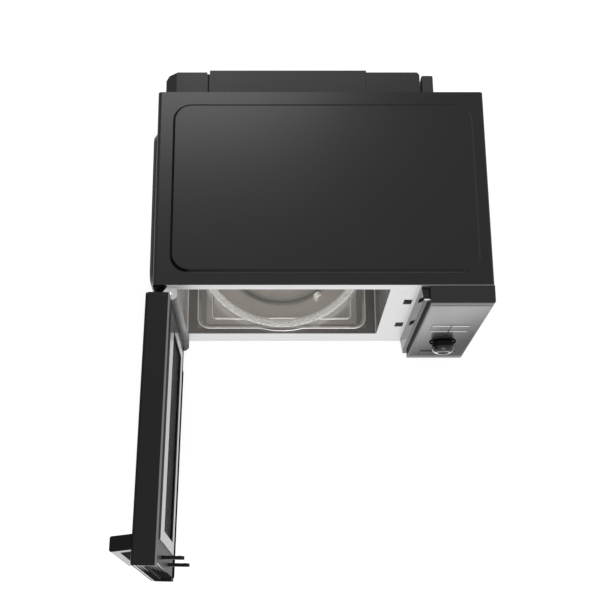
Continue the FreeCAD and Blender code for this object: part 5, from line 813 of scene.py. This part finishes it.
door_black = finish("door_black", mottled_skin, (0.0135, 0.0135, 0.0138), roughness=0.5, bump=0.3, shift=0.04,
                    pattern={"Fine Scale": 1500.0}, Specular_IOR_Level=0.0, Coat_Roughness=0.36)
door_tree = door_black.node_tree
door_axis = door_axes(door_tree)
rib_wave = math_node("SINE", times(door_axis[1], 2 * math.pi / RIB_PITCH))
rib_wave = math_node("MULTIPLY_ADD", rib_wave, 1.0 - RIB_LIFT, RIB_LIFT)
ribs = times(math_node("MAXIMUM", rib_wave, 0.0), inside(door_axis[1], RIBS_FROM, RIBS_TO, RIB_EDGE))
corner = ramp(door_axis[1], RIBS_TO - RIB_EDGE, RIBS_TO - RIB_EDGE / 2)
rib_foot = math_node("SUBTRACT", DOOR_TOP, ramp(door_axis[1], RIBS_FROM, RIBS_TO, *RIB_LENGTHS))
end_light = times(math_node("MAXIMUM", ribs, corner), ramp(door_axis[2], rib_foot, DOOR_TOP))
glint = ramp(door_axis[1], RIBS_FROM, RIBS_TO, *END_GLINTS)
end_light = math_node("MAXIMUM", end_light, ramp(door_axis[2], DOOR_TOP - END_GLINT_DROP, DOOR_TOP, 0.0, glint))
end_light = math_node("MAXIMUM", end_light, inside(door_axis[1], *GLASS_EDGE_LINE, GLASS_EDGE_FADE))
on_end, on_top = face_mask(door_tree, FACING_FREE_END), face_mask(door_tree, FACING_UP)
# Ribs, glint and glass-edge line on the free end, painted grey: painted highlights.
paint_where(door_black, times(end_light, on_end), RIB_PAINTED_HIGHLIGHT)
inner_edge_highlight = inside(door_axis[1], *EDGE_LINE, EDGE_FADE)
# A grey line along the top's inner edge: a painted highlight.
paint_where(door_black, times(on_top, inner_edge_highlight), EDGE_PAINTED_HIGHLIGHT)
satin = times(face_mask(door_tree, FACING_IN), ramp(door_axis[2], DULL_FOOT - FOOT_FADE, DULL_FOOT))
gloss = math_node("MULTIPLY_ADD", satin, INNER_GLOSS, times(on_top, TOP_GLOSS))
set_shader(door_black, Coat_Weight=gloss)
coat_nodes(door_black, "door_frame")

# Door front: a thick pane of glass, printed black on its back, with the window's dot screen
# just showing through the print. Its edge is ground matt.
WINDOW_FROM, WINDOW_TO = 0.0335, 0.3435
WINDOW_LOW, WINDOW_HIGH = 0.093, 0.253
WINDOW_EDGE = 0.001
DOT_PITCH = 0.0036
DOT_R = 0.0011
DOT_PRINT = (0.030, 0.030, 0.031, 1)
GLASS_PRINT = (0.0085, 0.0085, 0.009, 1)
GROUND_EDGE = (0.07, 0.073, 0.072, 1)
GROUND_ROUGHNESS = 0.45
GROUND_LEAN = (0.97, 0.995)
GLASS_GLOSS = 0.8
DOT_FADE = 0.06
SMEAR = 0.12
FACING_OUT = (-FACING_IN[0], -FACING_IN[1], 0)
door_glass, glass_tree = new_material("door_glass", Specular_IOR_Level=0.1, Coat_Roughness=0.02)
glass_axis = door_axes(glass_tree)
window = times(inside(glass_axis[0], WINDOW_FROM, WINDOW_TO, WINDOW_EDGE),
               inside(glass_axis[2], WINDOW_LOW, WINDOW_HIGH, WINDOW_EDGE))
flat = sum_node("ShaderNodeCombineXYZ", {0: glass_axis[0], 1: glass_axis[2]})[0]
dots = sum_node("ShaderNodeTexVoronoi", {"Vector": flat, "Scale": 1 / DOT_PITCH, "Randomness": 0.0},
                voronoi_dimensions="2D")["Distance"]
off_dot = ramp(dots, DOT_R / DOT_PITCH, DOT_R / DOT_PITCH + DOT_FADE)
printed = mixed_colour(times(window, off_dot), GLASS_PRINT, DOT_PRINT)
ground = face_mask(glass_tree, FACING_FREE_END, *GROUND_LEAN)
polish = times(face_mask(glass_tree, FACING_OUT), GLASS_GLOSS)
smear = times(noise(flat, 14.0, 5.0)[0], SMEAR)
matt = math_node("MULTIPLY_ADD", ground, GROUND_ROUGHNESS, smear)
set_shader(door_glass, Base_Color=mixed_colour(ground, printed, GROUND_EDGE), Coat_Weight=polish, Roughness=matt)
coat_nodes(door_glass, "door_outer_panel")

# Door window: a steel screen, punched with close rows of small holes and painted black, which
# lets light through and keeps microwaves in. A clear film covers it, and round it lies the
# moulded cover of the choke.
SCREEN_PITCH = 0.004
SCREEN_HOLE_R = 0.00135
SCREEN_Y0, SCREEN_Y1 = 0.0095, 0.0103
SCREEN_LAP = 0.0195
HOLE_SIDES = 8


def make_screen_cell():
    """One square of the punched sheet, with the wall of its hole."""
    bm = bmesh.new()
    half = SCREEN_PITCH / 2
    rings = []
    for depth in (SCREEN_Y0, SCREEN_Y1):
        outer, inner = [], []
        for side in range(HOLE_SIDES):
            angle = 2 * math.pi * side / HOLE_SIDES
            reach = half / max(abs(math.cos(angle)), abs(math.sin(angle)))
            outer.append(bm.verts.new((reach * math.cos(angle), depth, reach * math.sin(angle))))
            inner.append(bm.verts.new((SCREEN_HOLE_R * math.cos(angle), depth, SCREEN_HOLE_R * math.sin(angle))))
        rings.append((outer, inner))
    (front_out, front_in), (back_out, back_in) = rings
    for side in range(HOLE_SIDES):
        after = (side + 1) % HOLE_SIDES
        bm.faces.new((front_out[side], front_out[after], front_in[after], front_in[side]))
        bm.faces.new((back_out[after], back_out[side], back_in[side], back_in[after]))
        bm.faces.new((front_in[side], front_in[after], back_in[after], back_in[side]))
    return plain_mesh("screen_cell", bm)


def make_screen_tree():
    """Rows of cells that fill the window, welded into one sheet with its plain margin."""
    tree, given, out = geometry_tree(
        "punched_sheet", [("Cell", "NodeSocketObject"), ("Columns", "NodeSocketInt"), ("Rows", "NodeSocketInt"),
                          ("Pitch", "NodeSocketFloat"), ("Finish", "NodeSocketMaterial")])
    cell = tree_node(tree, "GeometryNodeObjectInfo", {"Object": given["Cell"]})
    sizes = [times(math_node("SUBTRACT", given[count], 1.0), given["Pitch"]) for count in ("Columns", "Rows")]
    grid = tree_node(tree, "GeometryNodeMeshGrid", {"Size X": sizes[0], "Size Y": sizes[1],
                                                    "Vertices X": given["Columns"], "Vertices Y": given["Rows"]})
    upright = tree_node(tree, "GeometryNodeTransform", {"Geometry": grid.outputs[0], "Rotation": (math.pi / 2, 0, 0)})
    placed = tree_node(tree, "GeometryNodeInstanceOnPoints",
                       {"Points": upright.outputs[0], "Instance": cell.outputs["Geometry"]})
    real = tree_node(tree, "GeometryNodeRealizeInstances", {"Geometry": placed.outputs[0]})
    welded = tree_node(tree, "GeometryNodeMergeByDistance", {"Geometry": real.outputs[0], "Distance": 1e-5})
    joined = tree_node(tree, "GeometryNodeJoinGeometry")
    tree.links.new(welded.outputs[0], joined.inputs[0])
    tree.links.new(given["Geometry"], joined.inputs[0])
    end_geometry(tree, given, out, joined.outputs[0])
    return tree


def make_screen_margin(half_width, half_height):
    """Plain margin of the punched sheet, as a flat frame round the holes."""
    bm = bmesh.new()
    outer = (half_width + SCREEN_LAP, half_height + SCREEN_LAP)
    corners = [(-1, -1), (1, -1), (1, 1), (-1, 1)]
    rings = [[bm.verts.new((x * size[0], depth, z * size[1])) for x, z in corners]
             for depth in (SCREEN_Y0, SCREEN_Y1) for size in ((half_width, half_height), outer)]
    for inner, rim in (rings[0:2], rings[2:4], (rings[1], rings[3])):
        for side in range(4):
            after = (side + 1) % 4
            bm.faces.new((inner[side], inner[after], rim[after], rim[side]))
    return plain_mesh("screen_margin", bm)


door_swing = Matrix.Translation(DOOR_PIVOT) @ Matrix.Rotation(math.radians(DOOR_DEGREES), 4, "Z")
screen_black = finish("screen_black", mottled_skin, (0.012, 0.012, 0.012), roughness=0.5, bump=0.2,
                      pattern={"Fine Scale": 1600.0}, Specular_IOR_Level=0.05)
columns = int((WINDOW_TO - WINDOW_FROM) / SCREEN_PITCH)
rows = int((WINDOW_HIGH - WINDOW_LOW) / SCREEN_PITCH)
cell = new_object("screen_cell", make_screen_cell())
margin = make_screen_margin(columns * SCREEN_PITCH / 2, rows * SCREEN_PITCH / 2)
screen_mesh = grown_mesh("door_screen", margin, make_screen_tree(), Cell=cell, Columns=columns, Rows=rows,
                         Pitch=SCREEN_PITCH, Finish=screen_black)
bpy.data.objects.remove(cell)
window_centre = ((WINDOW_FROM + WINDOW_TO) / 2, 0, (WINDOW_LOW + WINDOW_HIGH) / 2)
screen_mesh.transform(door_swing @ Matrix.Translation(window_centre))
add_piece("door_screen", screen_mesh, "door", "screen_steel", "door_inner_plate")
coat_nodes(finish("choke_plastic", mottled_skin, (0.045, 0.045, 0.045), roughness=0.18, bump=0.1, shift=0.05),
           "door_choke_cover")
coat_nodes(finish("pane_film", mottled_skin, (0.55, 0.55, 0.55), roughness=0.05, bump=0.02, shade=0.05, shift=0.02,
                  Transmission_Weight=1.0, IOR=1.003), "door_window_pane")

# Lower rail of the door: a strip of dull black moulding along the foot of the inner side,
# clipped on beyond the lower hinge.
RAIL_FROM, RAIL_TO = 0.040, 0.3935
RAIL_LOW, RAIL_HIGH = 0.0145, 0.040
RAIL_IN, RAIL_OUT = 0.0125, 0.0147
RAIL_EDGE = 0.0005
rail_mesh = box_mesh("door_lower_rail", (RAIL_FROM, RAIL_IN, RAIL_LOW), (RAIL_TO, RAIL_OUT, RAIL_HIGH), RAIL_EDGE)
rail_mesh.transform(door_swing)
rail_black = finish("rail_black", mottled_skin, (0.006, 0.006, 0.006), roughness=0.65, bump=0.5,
                    Specular_IOR_Level=0.0)
rail_mesh.materials.append(rail_black)
add_piece("door_lower_rail", rail_mesh, "door", "door_black")

# Handle: an upright channel of brushed metal on two arms, black inside and closed by black caps.
# The hinge bushes are turned from a pale plastic that needs no grease.
handle_metal = finish("handle_metal", rolled_grain, (0.27, 0.27, 0.267), roughness=0.34, bump=0.08, shade=0.12,
                      pattern=GRAIN_Z, Metallic=0.9)
HANDLE_BACK = (0.03, 0.03, 0.03, 1)
paint_where(handle_metal, face_mask(handle_metal.node_tree, FACING_IN), HANDLE_BACK)
coat_nodes(handle_metal, "door_handle")
coat_nodes(finish("cap_black", mottled_skin, (0.0055, 0.0055, 0.0055), roughness=0.4, bump=0.2,
                  Specular_IOR_Level=0.08), "handle_caps")
coat_nodes(finish("bush_plastic", mottled_skin, (0.62, 0.61, 0.58), roughness=0.42, bump=0.2), "hinge_bushes")

# Latch: two black hooks on one sliding bar in the door's free edge, held down by a coil
# spring of drawn wire.
coat_nodes(finish("latch_plastic", mottled_skin, (0.007, 0.007, 0.007), roughness=0.45, bump=0.2,
                  Specular_IOR_Level=0.1), "latch_hooks")
coat_nodes(finish("spring_steel", rolled_grain, (0.55, 0.55, 0.54), roughness=0.25, bump=0.05, pattern=GRAIN_X,
                  Metallic=1.0), "latch_spring")

# Back of the cabinet: a painted steel panel with air slots, and on it the stepped sheet-steel
# box over the convection fan. A moulded stand-off keeps the back clear of a wall, and a
# rubber bushing closes the hole for the mains lead. Black lines are painted on the box's top
# along its steps: painted shadow in the gaps.
rear_paint = finish("rear_paint", mottled_skin, (0.022, 0.022, 0.0225), roughness=0.42, bump=0.35,
                    pattern={"Fine Scale": 1100.0}, Specular_IOR_Level=0.2)
CREASE_SHADOW_BLACK = (0.003, 0.003, 0.003, 1)
HOUSING_SHADOW_LINES = [(-0.2300, -0.2059, 0.0020, 0.75), (-0.1578, -0.1538, 0.0012, 0.95), (0.0975, 0.1005, 0.0010, 0.35)]
rear_tree = rear_paint.node_tree
rear_x = split(own_spot(rear_tree))[0]
crease_shadow = 0.0
for low, high, edge, depth in HOUSING_SHADOW_LINES:
    crease_shadow = math_node("MULTIPLY_ADD", inside(rear_x, low, high, edge), depth, crease_shadow)
# Black lines along the housing's steps: painted shadow.
plate_where(rear_paint, times(crease_shadow, face_mask(rear_tree, FACING_UP)), CREASE_SHADOW_BLACK)
coat_nodes(rear_paint, "rear_panel", "convection_housing")
coat_nodes(finish("spacer_plastic", mottled_skin, (0.018, 0.018, 0.018), roughness=0.5, bump=0.6,
                  pattern={"Fine Scale": 800.0}, Specular_IOR_Level=0.3), "wall_spacer", "cord_gland")

# Cabinet cover: one sheet of steel folded over the top and both sides, with a raised field
# pressed into the top and a bulge into the left side. It is sprayed with a satin black paint
# whose skin shows a fine orange peel. The crease round the field and the upper slope of the
# side bulge by the wall are painted black: painted shadow.
cover_paint = finish("cover_paint", mottled_skin, (0.0115, 0.0115, 0.012), roughness=0.27, bump=0.08, shift=0.03,
                     pattern={"Fine Scale": 1500.0}, Specular_IOR_Level=0.2)
COVER_TOP = 0.3250
FIELD_RISE = (0.0001, 0.0004)
FIELD_EDGE = (-1.0, -0.5, 0.0)
FIELD_EDGE_LEAN = (0.03, 0.35)
SIDE_CREASE_X, SIDE_CREASE_X_FADE = (-0.2402, -0.2345), 0.0008
SIDE_CREASE_Z, SIDE_CREASE_Z_FADE = (0.2800, 0.3080), 0.002
cover_tree = cover_paint.node_tree
cover_axis = split(own_spot(cover_tree))
on_field = ramp(cover_axis[2], *[COVER_TOP + rise for rise in FIELD_RISE])
field_crease_shadow = times(on_field, face_mask(cover_tree, FIELD_EDGE, *FIELD_EDGE_LEAN))
side_crease_shadow = times(inside(cover_axis[0], *SIDE_CREASE_X, SIDE_CREASE_X_FADE),
                    inside(cover_axis[2], *SIDE_CREASE_Z, SIDE_CREASE_Z_FADE))
# The crease round the field and the side bulge's upper slope are painted black: painted shadow.
plate_where(cover_paint, math_node("MAXIMUM", field_crease_shadow, side_crease_shadow), CREASE_SHADOW_BLACK)
coat_nodes(cover_paint, "outer_cover")

# Cover screws: zinc-plated pan heads with a cross recess, driven through the cover's rear edge
# into the back.
SCREW_SIDES = 24
SCREW_PROFILE = [(3.0, 2.35), (3.6, 2.05), (4.05, 1.45), (4.2, 0.8), (4.2, 0)]
SCREW_CREASE = 35
CROSS_REACH, CROSS_HALF, CROSS_DEPTH, CROSS_TAPER = 2.1, 0.48, 1.1, 0.6
SCREW_SEAT_Y = 0.3486495
SCREW_SIDE_X = (-0.2293251, 0.2786749)
SCREW_SIDE_Z = (0.037, 0.169, 0.301)
SCREW_TOP_X = (-0.1253251, 0.0246749, 0.1746749)
SCREW_TOP_Z = 0.318
FACING_BACK = (0, 1, 0)


def make_screw_head():
    """Pan head with a cross recess, standing on Z = 0."""
    bm = bmesh.new()
    rings = add_turned(bm, SCREW_PROFILE, SCREW_SIDES)
    bm.faces.new(rings[-1])
    top = SCREW_PROFILE[0][1] * MM
    quarter = [(CROSS_REACH, -CROSS_HALF), (CROSS_REACH, CROSS_HALF), (CROSS_HALF, CROSS_HALF)]
    outline = []
    for turn in range(4):
        for x, y in quarter:
            for _ in range(turn):
                x, y = -y, x
            outline.append((x * MM, y * MM))
    rim = [bm.verts.new((x, y, top)) for x, y in outline]
    foot = [bm.verts.new((x * CROSS_TAPER, y * CROSS_TAPER, top - CROSS_DEPTH * MM)) for x, y in outline]
    for index in range(len(rim)):
        after = (index + 1) % len(rim)
        bm.faces.new((rim[index], rim[after], foot[after], foot[index]))
    bm.faces.new(foot)
    loops = [bm.edges.get((ring[index], ring[(index + 1) % len(ring)]))
             for ring in (rings[0], rim) for index in range(len(ring))]
    bmesh.ops.triangle_fill(bm, use_beauty=True, edges=loops)
    mesh = closed_mesh("screw_head", bm)
    shade_smooth(mesh, SCREW_CREASE)
    return mesh


screw_steel = finish("screw_steel", zinc_spangle, (0.64, 0.64, 0.63), roughness=0.3, bump=0.05, shade=0.15,
                     pattern={"Scale": 900.0}, Metallic=1.0)
screw_spots = [(x, z) for x in SCREW_SIDE_X for z in SCREW_SIDE_Z] + [(x, SCREW_TOP_Z) for x in SCREW_TOP_X]
screw_places = [((x, SCREW_SEAT_Y, z), FACING_BACK) for x, z in screw_spots]
screw_heads = copies_mesh("cover_screw_heads", make_screw_head(), screw_places, screw_steel)
add_piece("cover_screw_heads", screw_heads, "cabinet", "screw_steel", "cover_screws")

# Studio: a white floor that keeps the oven's faint shadow, a white room, a soft lamp high
# behind on the left, whose sheen lies on the cover, a broad one low in front, and the weak light
# of the oven's own lamp in the cavity.
FLOOR_HALF = 6.0
FLOOR_GREY = (0.5, 0.5, 0.5, 1)
WHITE = (1, 1, 1, 1)
FLOOR_GLOW = 0.74
ROOM_LIGHT = 0.5


def background_rays(tree):
    """1 for what the camera sees straight, in a reflection or through glass, and 0 for other rays."""
    path = tree_node(tree, "ShaderNodeLightPath").outputs
    seen = math_node("MAXIMUM", path["Is Camera Ray"], path["Is Glossy Ray"])
    return math_node("MAXIMUM", seen, path["Is Transmission Ray"])


floor_mesh = bpy.data.meshes.new("studio_floor")
floor_mesh.from_pydata([(-FLOOR_HALF, -FLOOR_HALF, 0), (FLOOR_HALF, -FLOOR_HALF, 0),
                        (FLOOR_HALF, FLOOR_HALF, 0), (-FLOOR_HALF, FLOOR_HALF, 0)], [], [(0, 1, 2, 3)])
floor = new_object("studio_floor", floor_mesh)
floor_paper, paper_tree = new_material("floor_paper", Base_Color=FLOOR_GREY, Roughness=0.9, Specular_IOR_Level=0.0,
                                       Emission_Color=WHITE)
set_shader(floor_paper, Emission_Strength=times(background_rays(paper_tree), FLOOR_GLOW))
floor_mesh.materials.append(floor_paper)

room = bpy.data.worlds.new("studio_room")
bpy.context.scene.world = room
room.use_nodes = True
room_tree = room.node_tree
room_shade = room_tree.nodes["Background"]
room_shade.inputs["Color"].default_value = WHITE
room_tree.links.new(math_node("MULTIPLY_ADD", background_rays(room_tree), 1.0 - ROOM_LIGHT, ROOM_LIGHT),
                    room_shade.inputs["Strength"])


def soft_lamp(name, place, target, width, height, power):
    """Soft lamp aimed at a point, which the camera doesn't see."""
    data = bpy.data.lights.new(name, "AREA")
    data.shape = "RECTANGLE"
    data.size = width
    data.size_y = height
    data.energy = power
    lamp = new_object(name, data)
    lamp.location = place
    lamp.rotation_euler = (Vector(target) - Vector(place)).to_track_quat("-Z", "Y").to_euler()
    lamp.visible_camera = False
    return lamp


soft_lamp("rear_left_lamp", (-0.29, 1.58, 2.3), (-0.1, 0.2, 0.3), 0.85, 0.47, 16)
soft_lamp("front_lamp", (0.25, -2.1, 0.95), (0, 0, 0.15), 1.3, 1.3, 30)
cavity_lamp = soft_lamp("cavity_lamp", (-0.035, 0.16, 0.28), (-0.035, 0.1601, 0.06), 0.28, 0.24, 0.22)
cavity_lamp.visible_glossy = False
cavity_lamp.visible_transmission = False

# Camera: high above the front, looking steeply down.
camera_data = bpy.data.cameras.new("photo_camera")
camera_data.sensor_width = 36.0
camera_data.lens = 68.71
camera_data.shift_x = 0.0587
camera_data.shift_y = 0.0081
camera_data.clip_end = 50.0
camera = new_object("photo_camera", camera_data)
camera.location = (-0.06473, -0.53255, 1.9703)
camera.rotation_euler = (math.radians(17.644), 0, 0)
bpy.context.scene.camera = camera
bpy.context.scene.view_settings.view_transform = "Standard"
